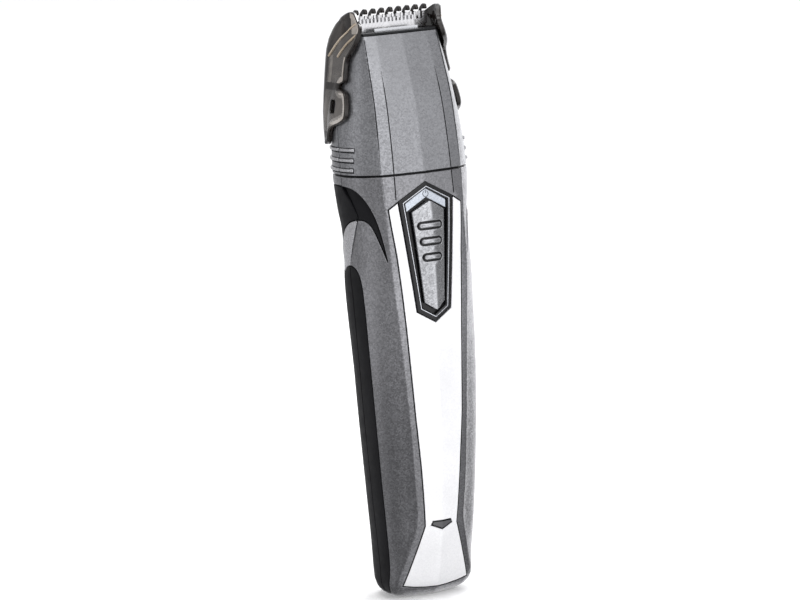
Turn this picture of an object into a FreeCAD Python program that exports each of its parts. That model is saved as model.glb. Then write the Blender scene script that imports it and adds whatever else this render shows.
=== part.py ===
import FreeCAD, Part
import os, math
from FreeCAD import Vector as V

# Beard trimmer, millimetres. +Z runs up the handle from the base foot, the front face
# looks along -Y, X is across with the right side at +X.
# The origin is the centre of the charging socket's mouth, on the flat foot.
# The housing is one sculpted surface, given as horizontal sections; every casing, panel
# and grip is cut from it. An inset is a distance in from that surface.

# ---- driving dimensions ----
SEAM_Z = 119.0          # joint between handle and head
SEAM_GAP = 0.35         # half height of the dark seam
HEAD_TOP_Z = 157.4      # top edge of the head's black rim
RIM = 0.5               # height of that rim over the casing
WALL = 2.4              # handle casing wall
HEAD_WALL = 1.8         # head casing wall
SKIN = 0.9              # thickness of front panel and grip overmoulds
GAP = 0.08              # shut line between neighbouring casings
LENS_GAP = 0.05         # clearance around the indicator lens
BLADE_REST = -1.0       # the cutter stands this far off centre at rest
BLADE_HALF_STROKE = 1.25
MOTOR_Y = 1.6           # motor and cam axis
PIVOT_Z = 135.0         # rocker pivot height
FINGER_Z = 157.0        # height at which the rocker finger drives the cutter
PIN_Z = 124.0           # height of the eccentric pin in the fork
ECC_PIN_R = 0.8
SWITCH_TRAVEL = 3.2
SOCKET_R = 1.8          # charging jack bore radius
SOCKET_Y = 0.0
BIG = 40                # reach of clipping solids beyond the housing

HANDLE_TOP = SEAM_Z - SEAM_GAP
HEAD_BOTTOM = SEAM_Z + SEAM_GAP
UPPER_ARM = FINGER_Z - PIVOT_Z
LOWER_ARM = PIVOT_Z - PIN_Z
REST_ANGLE = math.degrees(math.asin(BLADE_REST / UPPER_ARM))
ECC = LOWER_ARM * BLADE_HALF_STROKE / UPPER_ARM     # eccentric throw

# ---- housing sections: heights, then the value at each height ----
TABLES = {
    # Y of the front centre line
    "front_y": (
        [0, 4, 10, 19, 27, 39, 55, 83, 100, 119, 136.5, 150, 158],
        [-9.4, -10.3, -11.8, -13.7, -14.8, -15.7, -16.2, -16.0, -15.3, -13.9, -11.4, -7.6, -4.9]),
    # edge of the front facet: half width, set-back behind front_y
    "facet_x": (
        [0, 3.6, 12, 20.8, 39, 52, 76, 86.5, 100, 119, 140, 158],
        [10.6, 10.0, 7.4, 5.2, 6.5, 7.6, 8.9, 9.4, 9.4, 9.1, 8.7, 7.9]),
    "facet_back": (
        [0, 12, 22, 60, 85, 100, 119, 140, 158],
        [2.2, 1.3, 0.9, 1.1, 1.1, 0.9, 0.75, 0.5, 0.3]),
    # outer edge of the bevel beside it: half width, set-back behind front_y
    "bevel_x": (
        [0, 4, 12, 23, 31, 57, 78, 94, 110, 119, 140, 158],
        [12.0, 11.9, 9.7, 7.3, 7.85, 9.4, 10.8, 11.9, 12.3, 12.6, 12.2, 11.4]),
    "bevel_back": (
        [0, 12, 22, 60, 85, 100, 119, 140, 158],
        [3.3, 1.9, 1.25, 1.45, 1.5, 1.55, 1.6, 1.1, 0.7]),
    # widest point: half width, Y
    "side_x": (
        [0, 10, 30, 60, 88, 95, 102, 110, 119, 132, 145, 158],
        [12.85, 13.75, 15.3, 17.05, 18.0, 17.55, 17.3, 18.4, 19.05, 18.25, 15.7, 12.8]),
    "side_y": (
        [0, 20, 60, 92, 119, 140, 158],
        [-1.0, -4.6, -5.3, -2.0, -1.3, 1.8, 1.5]),
    # Y of the rear centre line
    "rear_y": (
        [0, 10, 30, 60, 90, 104, 119, 132, 145, 152, 158],
        [10.9, 12.1, 12.2, 12.6, 12.5, 13.9, 15.0, 14.1, 11.2, 8.4, 5.4]),
}
BEVEL_ANGLE = math.radians(38)      # direction in which the side leaves the bevel
FOOT_H = 5.0                        # height over which the bottom edge is rounded

# loft stations
FOOT_Z = [0, 0.25, 0.7, 1.4, 2.4, 3.6]
BODY_Z = [5, 10, 16, 20.8, 26, 34, 46, 60, 74, 86, 93, 98, 103, 109, 114, 119.6]
CAVITY_Z = [2.7, 3.4, 4.4, 5.6, 7.4] + BODY_Z[1:-1] + [121]
SWITCH_Z = [72, 78, 84, 90, 96, 102, 108, 113, 118]
SEAM_RING_Z = [117, 119, 121]
HEAD_Z = [118.4, 122, 127, 132, 137, 141, 145, 149, 153, 156, 158.0]
HEAD_CAVITY_Z = [117.5] + HEAD_Z[1:-1] + [160]
RIB_Z = [118.4, 122, 127, 130]


def pchip(heights, values):
    """Shape-preserving cubic through the table, clamped at its ends."""
    n = len(heights)
    step = [heights[i + 1] - heights[i] for i in range(n - 1)]
    slope = [(values[i + 1] - values[i]) / step[i] for i in range(n - 1)]
    tangent = [0.0] * n
    for i in range(1, n - 1):
        if slope[i - 1] * slope[i] > 0:
            w1 = 2 * step[i] + step[i - 1]
            w2 = step[i] + 2 * step[i - 1]
            tangent[i] = (w1 + w2) / (w1 / slope[i - 1] + w2 / slope[i])
    tangent[0], tangent[-1] = slope[0], slope[-1]

    def value_at(z):
        z = min(max(z, heights[0]), heights[-1])
        i = 0
        while i < n - 2 and z > heights[i + 1]:
            i += 1
        t = (z - heights[i]) / step[i]
        t2, t3 = t * t, t * t * t
        return ((2 * t3 - 3 * t2 + 1) * values[i]
                + (t3 - 2 * t2 + t) * step[i] * tangent[i]
                + (3 * t2 - 2 * t3) * values[i + 1]
                + (t3 - t2) * step[i] * tangent[i + 1])

    return value_at


SECTION = {name: pchip(*table) for name, table in TABLES.items()}


def bezier(poles, count):
    points = []
    for i in range(count):
        t = i / (count - 1)
        weights = ((1 - t) ** 3, 3 * (1 - t) ** 2 * t, 3 * (1 - t) * t * t, t ** 3)
        points.append(tuple(sum(w * p[axis] for w, p in zip(weights, poles)) for axis in (0, 1)))
    return points


def foot_inset(z):
    """In-plane inset that rounds the bottom edge."""
    if z >= FOOT_H:
        return 0.0
    s = (FOOT_H - max(z, 0.0)) / FOOT_H
    return 4.6 * (1 - math.sqrt(max(0.0, 1 - s * s * 0.96)))


def half_section(z, inset_x, inset_y):
    """Right half at height z, front to rear: facet, bevel, side and rear edges."""
    at = {name: curve(z) for name, curve in SECTION.items()}
    front_y, rear_y = at["front_y"], at["rear_y"]
    side_x, side_y = at["side_x"], at["side_y"]
    front = (0.0, front_y)
    facet = (at["facet_x"], front_y + at["facet_back"])
    bevel = (at["bevel_x"], front_y + at["bevel_back"])
    widest = (side_x, side_y)
    reach = math.hypot(widest[0] - bevel[0], widest[1] - bevel[1])
    leave = (bevel[0] + math.cos(BEVEL_ANGLE) * reach * 0.35,
             bevel[1] + math.sin(BEVEL_ANGLE) * reach * 0.35)
    side = bezier([bevel, leave, (side_x, side_y - reach * 0.45), widest], 9)
    rear = bezier([widest, (side_x, side_y + (rear_y - side_y) * 0.62),
                   (side_x * 0.62, rear_y), (0.0, rear_y)], 13)
    mid_y, half_depth = (front_y + rear_y) / 2, (rear_y - front_y) / 2
    scale_x, scale_y = 1 - inset_x / side_x, 1 - inset_y / half_depth
    return [[(x * scale_x, mid_y + (y - mid_y) * scale_y) for x, y in points]
            for points in ([front, facet], [facet, bevel], side, rear)]


def section_edge(points, z):
    vectors = [V(x, y, z) for x, y in points]
    if len(vectors) == 2:
        return Part.makeLine(vectors[0], vectors[1])
    curve = Part.BSplineCurve()
    curve.interpolate(vectors)
    return curve.toShape()


def section_wire(z, inset_x, inset_y):
    right = half_section(z, inset_x, inset_y)
    left = [[(-x, y) for x, y in reversed(points)] for points in reversed(right)]
    return Part.Wire([section_edge(points, z) for points in right + left])


def solid_loft(wires):
    lofted = Part.makeLoft(wires, True, False)
    return lofted if lofted.ShapeType == "Solid" else lofted.Solids[0]


def loft(heights, inset, foot=False):
    """Housing surface drawn in by inset; deep insets also raise the foot rounding."""
    raised = inset if inset > 1.5 else 0.0
    wires = []
    for z in heights:
        total = inset + (foot_inset(z - raised) if foot else 0.0)
        wires.append(section_wire(z, total, total))
    return solid_loft(wires)


# ---- shape helpers ----
def prism(corners, travel):
    return Part.Face(Part.makePolygon(corners + corners[:1])).extrude(travel)


def side_prism(outline, x0=-BIG, x1=BIG):
    """Prism across X from a (y, z) outline."""
    return prism([V(x0, y, z) for y, z in outline], V(x1 - x0, 0, 0))


def front_prism(outline, back_y=-2):
    """Prism from far in front back to back_y, from an (x, z) outline."""
    return prism([V(x, -BIG, z) for x, z in outline], V(0, back_y + BIG, 0))


def box(x0, x1, y0, y1, z0, z1):
    return Part.makeBox(x1 - x0, y1 - y0, z1 - z0, V(x0, y0, z0))


def mid_box(half_x, y0, y1, z0, z1, x=0.0):
    return box(x - half_x, x + half_x, y0, y1, z0, z1)


def box_pair(x0, x1, *yz):
    """A box and its mirror image across X = 0."""
    return [box(x0, x1, *yz), box(-x1, -x0, *yz)]


def slab(z0, z1):
    return mid_box(BIG, -BIG, BIG, z0, z1)


def cyl_z(radius, length, x, y, z):
    return Part.makeCylinder(radius, length, V(x, y, z), V(0, 0, 1))


def cyl_y(radius, length, x, y, z):
    return Part.makeCylinder(radius, length, V(x, y, z), V(0, 1, 0))


def fused(shape, *others):
    for other in others:
        shape = shape.fuse(other)
    return shape


def carved(shape, *tools):
    for tool in tools:
        shape = shape.cut(tool)
    return shape


def sym(outline):
    """Closed outline from its right half, listed from top centre to bottom centre."""
    return outline + [(-x, z) for x, z in reversed(outline) if abs(x) > 1e-6]


def grow(outline, distance):
    """Offsets a closed outline outward."""
    n = len(outline)
    following = outline[1:] + outline[:1]
    area = sum(p[0] * q[1] - q[0] * p[1] for p, q in zip(outline, following))
    sign = 1 if area > 0 else -1
    grown = []
    for i in range(n):
        normals = []
        for p, q in ((outline[i - 1], outline[i]), (outline[i], following[i])):
            du, dv = q[0] - p[0], q[1] - p[1]
            length = math.hypot(du, dv)
            normals.append((dv / length * sign, -du / length * sign))
        u = normals[0][0] + normals[1][0]
        v = normals[0][1] + normals[1][1]
        scale = 2 * distance / (u * u + v * v)
        grown.append((outline[i][0] + u * scale, outline[i][1] + v * scale))
    return grown


def parting_halves(parting):
    """Clipping solids in front of and behind a (y, z) parting line, bottom to top."""
    z0, z1 = parting[0][1], parting[-1][1]
    behind = [(y + GAP, z) for y, z in parting]
    return (side_prism(parting + [(-BIG, z1), (-BIG, z0)]),
            side_prism(behind + [(BIG, z1), (BIG, z0)]))


def put(name, shape):
    solids = [s for s in shape.Solids if s.Volume > 0.02]
    assert solids, name + " has no solid"
    piece = solids[0] if len(solids) == 1 else Part.Compound(solids)
    piece.exportStep("parts/%s.step" % name)


def put_sides(name, shape):
    put(name + "_left", shape.common(box(-BIG, 0.0, -BIG, BIG, -5, 170)))
    put(name + "_right", shape.common(box(0.0, BIG, -BIG, BIG, -5, 170)))


os.makedirs("parts", exist_ok=True)

# ---- side outlines (y, z) ----
# stretch shared by the parting line, thumb grips and rear grip, going up
SHOULDER = [(-6.2, 107.0), (-6.3, 108.3), (-5.4, 110.1), (-4.2, 112.3), (-2.5, 114.2),
            (-1.1, 116.0)]
PARTING = [(-0.8, -3), (-0.8, 0), (-1.7, 10), (-2.0, 28), (-2.3, 50), (-2.5, 65), (-2.7, 79),
           (-2.4, 86.6), (-1.3, 92.2), (-1.0, 93.9), (-1.6, 96.1), (-2.9, 99.9),
           (-4.5, 103.8)] + SHOULDER + [(-1.1, 119.0), (-1.1, 124)]
HEAD_PARTING = [(-1.1, 117), (-1.1, 119), (-0.7, 123.4), (0.8, 132), (1.6, 145), (1.6, 160)]
THUMB = SHOULDER[-1:] + [
    (-4.4, 115.75), (-6.5, 115.0), (-8.05, 113.6), (-9.55, 111.35), (-10.7, 108.6),
    (-11.6, 105.4), (-12.3, 102.1), (-12.9, 98.5), (-13.35, 95.6), (-12.65, 98.3),
    (-11.7, 101.3), (-10.4, 104.8), (-9.35, 106.25), (-8.0, 107.0)] + SHOULDER[:-1]
SIDE_GRIP = [
    (-1.0, 93.9), (-2.45, 93.8), (-4.4, 93.0), (-5.85, 91.2), (-6.7, 88.4), (-7.05, 84.2),
    (-7.4, 79.5), (-7.9, 65.7), (-8.0, 57), (-7.8, 43), (-7.4, 29), (-6.95, 17.4),
    (-6.0, 8.6), (-5.5, 5.2), (-4.6, 2.6), (-3.4, 1.3), (0, -1), (3, -1), (3, 93.9)]
REAR_GRIP = [
    (-1.0, 93.9), (0.6, 93.7), (2.2, 92.7), (4.4, 91.5), (5.6, 92.2), (5.9, 94.4),
    (5.2, 97.2), (3.6, 100.6), (1.7, 103.4), (-0.5, 105.1), (-3.0, 106.4),
] + SHOULDER + [(20, 116.0), (20, 1.6), (-8, 1.6), (-8, 93.9)]

# ---- front outlines (x, z) ----
PANEL = sym([(0, 116.5), (11.7, 109.8), (11.3, 105), (10.4, 97), (9.6, 86.5), (8.9, 76),
             (7.6, 52), (6.5, 39), (5.2, 20.8), (10.5, 3.7), (7, 2.95), (3.5, 2.55), (0, 2.45)])
BEZEL_OUT = sym([(0, 116.5), (8.6, 111.8), (5.3, 81.1), (0, 77.9)])
BEZEL_IN = sym([(0, 115.0), (6.9, 110.9), (3.95, 82.0), (0, 79.6)])
SLIDER = sym([(0, 111.2), (5.35, 108.2), (3.1, 83.4), (0, 81.3)])
ICON = [(0, 114.8), (6.6, 110.9), (6.3, 107.6), (0, 111.35), (-6.3, 107.6), (-6.6, 110.9)]
LENS = [(2.8, 21.8), (3.2, 20.9), (0, 19.5), (-3.2, 20.9), (-2.8, 21.8)]

# ---- solids the handle pieces are cut from ----
handle_outer = loft(FOOT_Z + BODY_Z, 0.0, foot=True)
under_skin = loft([1.0, 1.6, 2.4, 3.6] + BODY_Z, SKIN, foot=True)
under_bezel = loft(SWITCH_Z, 2 * SKIN)
cavity = loft(CAVITY_Z, WALL, foot=True)
inner_fit = loft(CAVITY_Z, WALL + 0.1, foot=True)       # limit for the internal parts
front_half, rear_half = parting_halves(PARTING)

body = handle_outer.common(slab(-1, HANDLE_TOP))
skin = body.cut(under_skin).common(slab(1.3, HANDLE_TOP))    # without the foot's underside
bezel_block = loft(SWITCH_Z, -0.35).cut(under_bezel).common(front_prism(BEZEL_OUT))
panel_skin = skin.common(front_prism(PANEL))
thumb_skin = skin.common(side_prism(THUMB))
side_skin = skin.common(side_prism(SIDE_GRIP))
rear_skin = skin.common(side_prism(REAR_GRIP))
lens_hole = grow(LENS, LENS_GAP)

# ---- front panel ----
panel = panel_skin.common(front_prism(grow(PANEL, -GAP)))
put("front_panel", carved(panel, front_prism(grow(BEZEL_OUT, GAP)), front_prism(lens_hole)))

# ---- switch bezel: proud ring around a recessed floor ----
bezel_window = front_prism(BEZEL_IN)
stem_slot = mid_box(1.5, -18, -8, 90.6, 94.0 + SWITCH_TRAVEL)
bezel_floor = under_skin.cut(under_bezel).common(bezel_window)
put("switch_bezel", bezel_block.cut(bezel_window).fuse(bezel_floor).cut(stem_slot))

# ---- icon plate: chevron engraved with an open ring and a bar ----
MARK_Z = 113.05
ring = cyl_y(1.15, 30, 0, -30, MARK_Z).cut(cyl_y(0.8, 30, 0, -30, MARK_Z))
ring = ring.cut(mid_box(0.45, -BIG, 0, 113.2, 115))
mark = ring.fuse(mid_box(0.18, -30, 0, 113.0, 114.5))
icon = loft(SWITCH_Z, 0.45).cut(under_skin).common(front_prism(ICON))
put("icon_plate", icon.cut(mark.cut(loft(SWITCH_Z, 0.6))))

# ---- power slider: roof-shaped button with three cross bars ----
slider_seat = loft(SWITCH_Z, 0.32)
roof = prism([V(x, y, 78) for x, y in
              ((-7, -15.95), (0, -17.55), (7, -15.95), (7, -8), (-7, -8))], V(0, 1.7, 36))
bar_roof = roof.translated(V(0, -0.45, 0))
BAR_Z = (95.8, 100.15, 104.5)
bars = []
for z in BAR_Z:
    half_width = 2.75 + (z - BAR_Z[0]) * 0.09
    bar = mid_box(half_width, -19.4, -15, z - 0.95, z + 0.95)
    bars.append(bar.common(bar_roof).cut(slider_seat))
slider = roof.common(front_prism(SLIDER)).cut(slider_seat)
put("power_slider", fused(slider, *bars).removeSplitter())

# ---- switch stem ----
stem = mid_box(1.3, -15.3, -12.75, 90.8, 93.8).common(slider_seat)
put("switch_stem", stem.fuse(mid_box(0.8, -12.8, -11.2, 91.3, 93.3)))

# ---- grips ----
thumb = thumb_skin.cut(front_prism(PANEL))
put_sides("thumb_grip", thumb.common(loft([90, 94, 98, 102, 106, 110, 114, 118.6], 0.3)))

side = side_skin.common(front_half).common(side_prism(grow(SIDE_GRIP, -GAP)))
put_sides("side_grip", side.cut(front_prism(grow(PANEL, 0.3))))

put("rear_grip", rear_skin.common(rear_half))

# ---- handle casings ----
shell = body.cut(cavity).cut(cyl_z(3.6, 6, 0, SOCKET_Y, -1))
put("front_shell", carved(shell.common(front_half), panel_skin, bezel_block, stem_slot,
                          thumb_skin, side_skin, front_prism(lens_hole, -9.0)))
put("rear_shell", shell.common(rear_half).cut(rear_skin))

# ---- indicator lens ----
put("indicator_lens", handle_outer.common(front_prism(LENS, -10.6)))

# ---- seal ring, set back in the seam ----
seal = loft(SEAM_RING_Z, 0.7).cut(loft(SEAM_RING_Z, WALL))
put("seal_ring", seal.common(slab(HANDLE_TOP, HEAD_BOTTOM - 0.06)))

# ---- handle internals ----
MOTOR_Z0, MOTOR_Z1 = 70.0, 101.0
BATTERY_R, BATTERY_Y = 7.1, 2.2
BATTERY_Z0, BATTERY_Z1 = 16.2, 64.6
BULKHEAD_Z0, BULKHEAD_Z1 = 111.6, 113.2
PCB_Y0, PCB_Y1 = -9.3, -8.1             # front and back of the board
ON_PCB_Y = PCB_Y0 - 0.02                # back of the parts on its front
SCREWS = [(-7.6, 8.2), (7.6, 8.2)]      # x, y
SCREW_BORE_R = 0.98

# bulkhead under the seam
bulkhead = slab(BULKHEAD_Z0, BULKHEAD_Z1).common(cavity)
bulkhead = carved(bulkhead, cyl_z(4.2, 30, 0, MOTOR_Y, 100),
                  fused(*box_pair(8.5, 10.6, -2.2, 5.4, 108, 116)))
put("bulkhead", carved(bulkhead, *[cyl_z(SCREW_BORE_R, 10, x, y, 108) for x, y in SCREWS]))

# chassis: three cross walls, two side rails and the screw posts
walls = fused(slab(14.2, 15.4), slab(66.2, 68.4), slab(MOTOR_Z1 + 0.1, MOTOR_Z1 + 2.2))
rails = fused(*box_pair(10.9, 12.3, -3.5, 6.5, 14.2, MOTOR_Z1 + 2.2))
posts = [cyl_z(1.9, 111.5 - MOTOR_Z1 - 1, x, y, MOTOR_Z1 + 1) for x, y in SCREWS]
chassis = fused(walls, rails, *posts).common(inner_fit)
chassis = carved(chassis,
                 mid_box(8.3, -20, -7.9, 19.5, 111),
                 mid_box(9, -BIG, -8.0, 10, 112),
                 cyl_z(3.4, 6, 0, MOTOR_Y, MOTOR_Z1 - 1),
                 *[cyl_z(SCREW_BORE_R, 20, x, y, MOTOR_Z1 + 3) for x, y in SCREWS])
put("chassis", chassis.removeSplitter())


def housing_screw(x, y):
    """Cross-slotted screw standing point down, its head on the bulkhead."""
    tip_z, head_h = 104.0, 1.3
    shank = cyl_z(0.95, BULKHEAD_Z1 + head_h - tip_z, x, y, tip_z)
    return carved(shank.fuse(cyl_z(1.7, head_h, x, y, BULKHEAD_Z1)),
                  mid_box(1.2, y - 0.2, y + 0.2, 114.0, 115, x),
                  mid_box(0.2, y - 1.2, y + 1.2, 114.0, 115, x))


put("housing_screws", Part.Compound([housing_screw(x, y) for x, y in SCREWS]))

# motor: can with flat front and back, end bosses, shaft bore and two terminals
can = cyl_z(9.9, MOTOR_Z1 - MOTOR_Z0, 0, MOTOR_Y, MOTOR_Z0)
can = can.common(mid_box(12, MOTOR_Y - 7.4, MOTOR_Y + 7.4, 60, 110))
can = fused(can, cyl_z(3.1, 1.6, 0, MOTOR_Y, MOTOR_Z1), cyl_z(3.0, 1.4, 0, MOTOR_Y, MOTOR_Z0 - 1.4))
can = can.cut(cyl_z(1.06, 40, 0, MOTOR_Y, MOTOR_Z0 + 10))
terminals = box_pair(-6.4, -4.6, MOTOR_Y - 5.0, MOTOR_Y - 4.6, MOTOR_Z0 - 1.5, MOTOR_Z0 + 0.2)
put("motor", fused(can, *terminals))

battery = cyl_z(BATTERY_R, BATTERY_Z1 - BATTERY_Z0, 0, BATTERY_Y, BATTERY_Z0)
put("battery", battery.fuse(cyl_z(2.7, 1.1, 0, BATTERY_Y, BATTERY_Z1)))

# battery contacts: plates with a tab running forward, the lower one with a cone
CONTACT_T = 0.38
CONTACT_Z = 15.42


def battery_contact(z, *bumps):
    plate = mid_box(4.5, BATTERY_Y - 4.5, BATTERY_Y + 4.5, z, z + CONTACT_T)
    return fused(plate, *bumps, mid_box(1.6, -7.7, BATTERY_Y - 4.0, z, z + CONTACT_T))


cone = Part.makeCone(3.2, 1.6, 0.38, V(0, BATTERY_Y, CONTACT_Z + CONTACT_T))
put("battery_contacts", Part.Compound([battery_contact(CONTACT_Z, cone),
                                       battery_contact(BATTERY_Z1 + 1.12)]))

board = mid_box(7.6, PCB_Y0, PCB_Y1, 26, 108).fuse(mid_box(4.6, PCB_Y0, PCB_Y1, 17.6, 26))
put("circuit_board", board.common(inner_fit))

switch = mid_box(4.2, -12.6, ON_PCB_Y, 86.5, 100.5)
switch = switch.cut(mid_box(1.0, -14, -11.0, 91.0, 93.6 + SWITCH_TRAVEL))
put("switch_body", switch.common(inner_fit))

put("charge_led", mid_box(1.0, -10.5, ON_PCB_Y, 19.7, 21.5))

# charging socket: round mouth through the foot, square body above
socket = cyl_z(3.5, 3.0, 0, SOCKET_Y, 0)
socket = socket.fuse(mid_box(4.4, SOCKET_Y - 4.4, SOCKET_Y + 4.4, 3.0, 12.2))
socket = socket.common(inner_fit.fuse(cyl_z(3.5, 5, 0, SOCKET_Y, 0)))
put("charging_socket", socket.cut(cyl_z(SOCKET_R, 10.5, 0, SOCKET_Y, -0.5)))

# ---- eccentric cam: shaft, hub, disc and pin, turned to meet the fork at rest ----
cam_angle = math.acos((-LOWER_ARM * math.sin(math.radians(REST_ANGLE))) / ECC)
pin_x = ECC * math.cos(cam_angle)
pin_y = MOTOR_Y + ECC * math.sin(cam_angle)
cam = fused(cyl_z(1.0, 24.0, 0, MOTOR_Y, MOTOR_Z1 - 9.0),
            cyl_z(2.2, 6.0, 0, MOTOR_Y, 107.0),
            cyl_z(3.4, 2.4, 0, MOTOR_Y, 113.0),
            cyl_z(ECC_PIN_R, 11.0, pin_x, pin_y, 115.0))
cam = cam.cut(mid_box(5, MOTOR_Y - 5, MOTOR_Y - 2.4, 112, 115.4))
put("eccentric_cam", cam.removeSplitter())

# ---- head casing, with three ribs round its sides ----
head_outer = loft(HEAD_Z, 0.0)
head_cavity = loft(HEAD_CAVITY_Z, HEAD_WALL)
rib_bands = fused(*[mid_box(BIG, -5.4, 9.5, z - 0.55, z + 0.55) for z in (120.9, 123.8, 126.7)])
ribs = loft(RIB_Z, -0.5).cut(loft(RIB_Z, 0.3)).common(rib_bands)
casing = head_outer.common(slab(HEAD_BOTTOM, HEAD_TOP_Z - RIM)).cut(head_cavity).fuse(ribs)
head_height = slab(HEAD_BOTTOM, HEAD_TOP_Z)
head_front, head_rear = parting_halves(HEAD_PARTING)
put("head_front_shell", casing.common(head_front).common(head_height))
put("head_rear_shell", casing.common(head_rear).common(head_height))

# head base: floor plate with two latches reaching down into the bulkhead
base = head_cavity.common(slab(HEAD_BOTTOM, HEAD_BOTTOM + 1.7))
base = fused(base, *box_pair(8.7, 10.4, -2.0, 5.2, 109.6, HEAD_BOTTOM + 0.5))
put("head_base", base.cut(cyl_z(4.4, 30, 0, MOTOR_Y, 100)))

# ---- head internals ----
FIXED_Y0, FIXED_Y1 = 1.0, 1.7           # fixed blade, front and back
MOVING_Y0, MOVING_Y1 = 0.25, 0.95       # moving blade, front and back
HOLDER_Y1 = 3.5                         # back of the holder plate
ROCKER_Y0, ROCKER_Y1 = -1.9, -0.3       # rocker arm, front and back
FINGER_R = 1.2
BLADE_SCREWS = [(-7.4, 148.4), (7.4, 148.4)]    # x, z
head_fit = loft(HEAD_CAVITY_Z, HEAD_WALL + 0.06)
screw_bores = [cyl_y(0.83, 6, x, 0, z) for x, z in BLADE_SCREWS]

# blade holder: plate, side arms, cross band, two rear ribs and a pivot boss
holder = fused(mid_box(9.6, FIXED_Y1 + 0.02, HOLDER_Y1, 131, 155.2),
               *box_pair(-11.2, -9.8, -2.3, HOLDER_Y1, 141, 145.6),
               mid_box(11.2, 2.0, HOLDER_Y1, 141, 147),
               *box_pair(-8.2, -6.8, 3.4, 14, 131, 150),
               cyl_y(2.6, 2.2, 0, -0.2, PIVOT_Z).common(mid_box(5, 1.5, 5, 130, 140)))
holder = holder.common(head_fit)
holder = carved(holder, cyl_y(1.0, 20, 0, -5, PIVOT_Z), *screw_bores)
put("blade_holder", holder.removeSplitter())

pivot = cyl_y(0.99, 6.4, 0, -2.9, PIVOT_Z)
put("pivot_pin", pivot.fuse(cyl_y(1.7, 0.5, 0, -2.75, PIVOT_Z)))


def toothed_plate(x, half_width, y0, y1, bottom, root, tip, pitch, tooth):
    """Blade plate from bottom to root, with round-ended teeth up to tip."""
    count = int(round(2 * half_width / pitch))
    step = 2 * half_width / count
    teeth = []
    for i in range(count):
        tooth_x = x - half_width + step * (i + 0.5)
        end_z = tip - tooth / 2
        teeth.append(mid_box(tooth / 2, y0, y1, root - 0.3, end_z, tooth_x))
        teeth.append(cyl_y(tooth / 2, y1 - y0, tooth_x, y0, end_z))
    return mid_box(half_width, y0, y1, bottom, root, x).multiFuse(teeth).removeSplitter()


# fixed blade, bevelled at the back of the tips
fixed = toothed_plate(x=0.0, half_width=12.2, y0=FIXED_Y0, y1=FIXED_Y1, bottom=158.2,
                      root=160.6, tip=163.3, pitch=1.435, tooth=0.9)
fixed = fixed.fuse(mid_box(10.3, FIXED_Y0, FIXED_Y1, 145.8, 158.4))
tip_bevel = side_prism([(FIXED_Y1 + 0.01, 160.8), (FIXED_Y1 + 0.01, 164), (FIXED_Y0 + 0.25, 164)])
put("fixed_blade", carved(fixed, *screw_bores, tip_bevel).removeSplitter())

# moving blade, bevelled at the front of the tips
moving = toothed_plate(x=BLADE_REST, half_width=8.7, y0=MOVING_Y0, y1=MOVING_Y1, bottom=151.2,
                       root=160.7, tip=162.3, pitch=1.16, tooth=0.62)
tip_bevel = side_prism([(MOVING_Y0 - 0.01, 160.0), (MOVING_Y0 - 0.01, 164),
                        (MOVING_Y1 - 0.25, 164)])
put("moving_blade", moving.cut(tip_bevel).removeSplitter())


def blade_screw(x, z):
    screw = cyl_y(0.8, 3.0, x, FIXED_Y0, z).fuse(cyl_y(1.5, 0.95, x, FIXED_Y0 - 0.95, z))
    return screw.cut(mid_box(1.1, FIXED_Y0 - 1.2, FIXED_Y0 - 0.6, z - 0.17, z + 0.17, x))


put("blade_screws", Part.Compound([blade_screw(x, z) for x, z in BLADE_SCREWS]))

# blade driver: block on the moving blade, slotted for the rocker finger
DRIVER_Y1 = MOVING_Y0 - 0.01
driver = mid_box(3.2, -2.15, DRIVER_Y1, 152.6, 157.9, BLADE_REST)
driver = driver.cut(mid_box(FINGER_R + 0.03, -3, -0.1, 152, 160, BLADE_REST))
driver = driver.fuse(mid_box(3.2, -0.1, DRIVER_Y1, 152.6, 157.9, BLADE_REST))
put("blade_driver", driver.cut(mid_box(FINGER_R + 0.6, -3, -0.1, 152, 153.6, BLADE_REST)))

# tension spring: flat frame on a cross strip
spring = mid_box(6.85, -2.75, -2.4, 151.8, 158.3).cut(mid_box(4.6, -3, -2, 150, 154.5))
spring = fused(spring, *box_pair(-6.85, -4.6, -2.75, -2.4, 145, 152),
               mid_box(11.1, -2.72, -2.37, 142, 145.6))
put("tension_spring", spring.common(head_fit).removeSplitter())

# blade surround: plug in the head's mouth with the rim over the casing
surround = head_cavity.common(slab(155.6, HEAD_TOP_Z))
surround = surround.fuse(head_outer.common(slab(HEAD_TOP_Z - RIM, HEAD_TOP_Z)))
put("blade_surround", carved(surround, mid_box(10.45, -2.3, 1.78, 150, 160),
                             mid_box(7.0, -2.85, 1, 150, 160)))

# rocker lever: fork, arm, finger and hub, drawn upright, then turned to the rest angle
fork = mid_box(4.2, -1.9, 4.2, 121.6, 128.4)
fork = fork.cut(mid_box(ECC_PIN_R + 2 * ECC + 0.15, -5, 6, 120, 126.6))
arm = fused(mid_box(2.2, ROCKER_Y0, ROCKER_Y1, 127, 136),
            mid_box(0.9, ROCKER_Y0, ROCKER_Y1, 134, FINGER_Z),
            cyl_y(FINGER_R, ROCKER_Y1 - ROCKER_Y0, 0, ROCKER_Y0, FINGER_Z))
hub = cyl_y(2.6, 1.45 - ROCKER_Y0, 0, ROCKER_Y0, PIVOT_Z)
rocker = fused(fork, arm, hub).cut(cyl_y(1.04, 12, 0, -6, PIVOT_Z)).removeSplitter()
rocker.rotate(V(0, 0, PIVOT_Z), V(0, 1, 0), REST_ANGLE)
put("rocker_lever", rocker)

# ---- attachment comb: a U-shaped guard hugging the head's back and sides ----
# guard height, housing height whose section is used there
COMB_Z = [(127.6, 127.6), (131, 131), (136, 136), (141, 141), (145.5, 145.5), (150, 150),
          (154, 153.5), (158, 156.0), (161.5, 157.4), (165, 158)]
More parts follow.
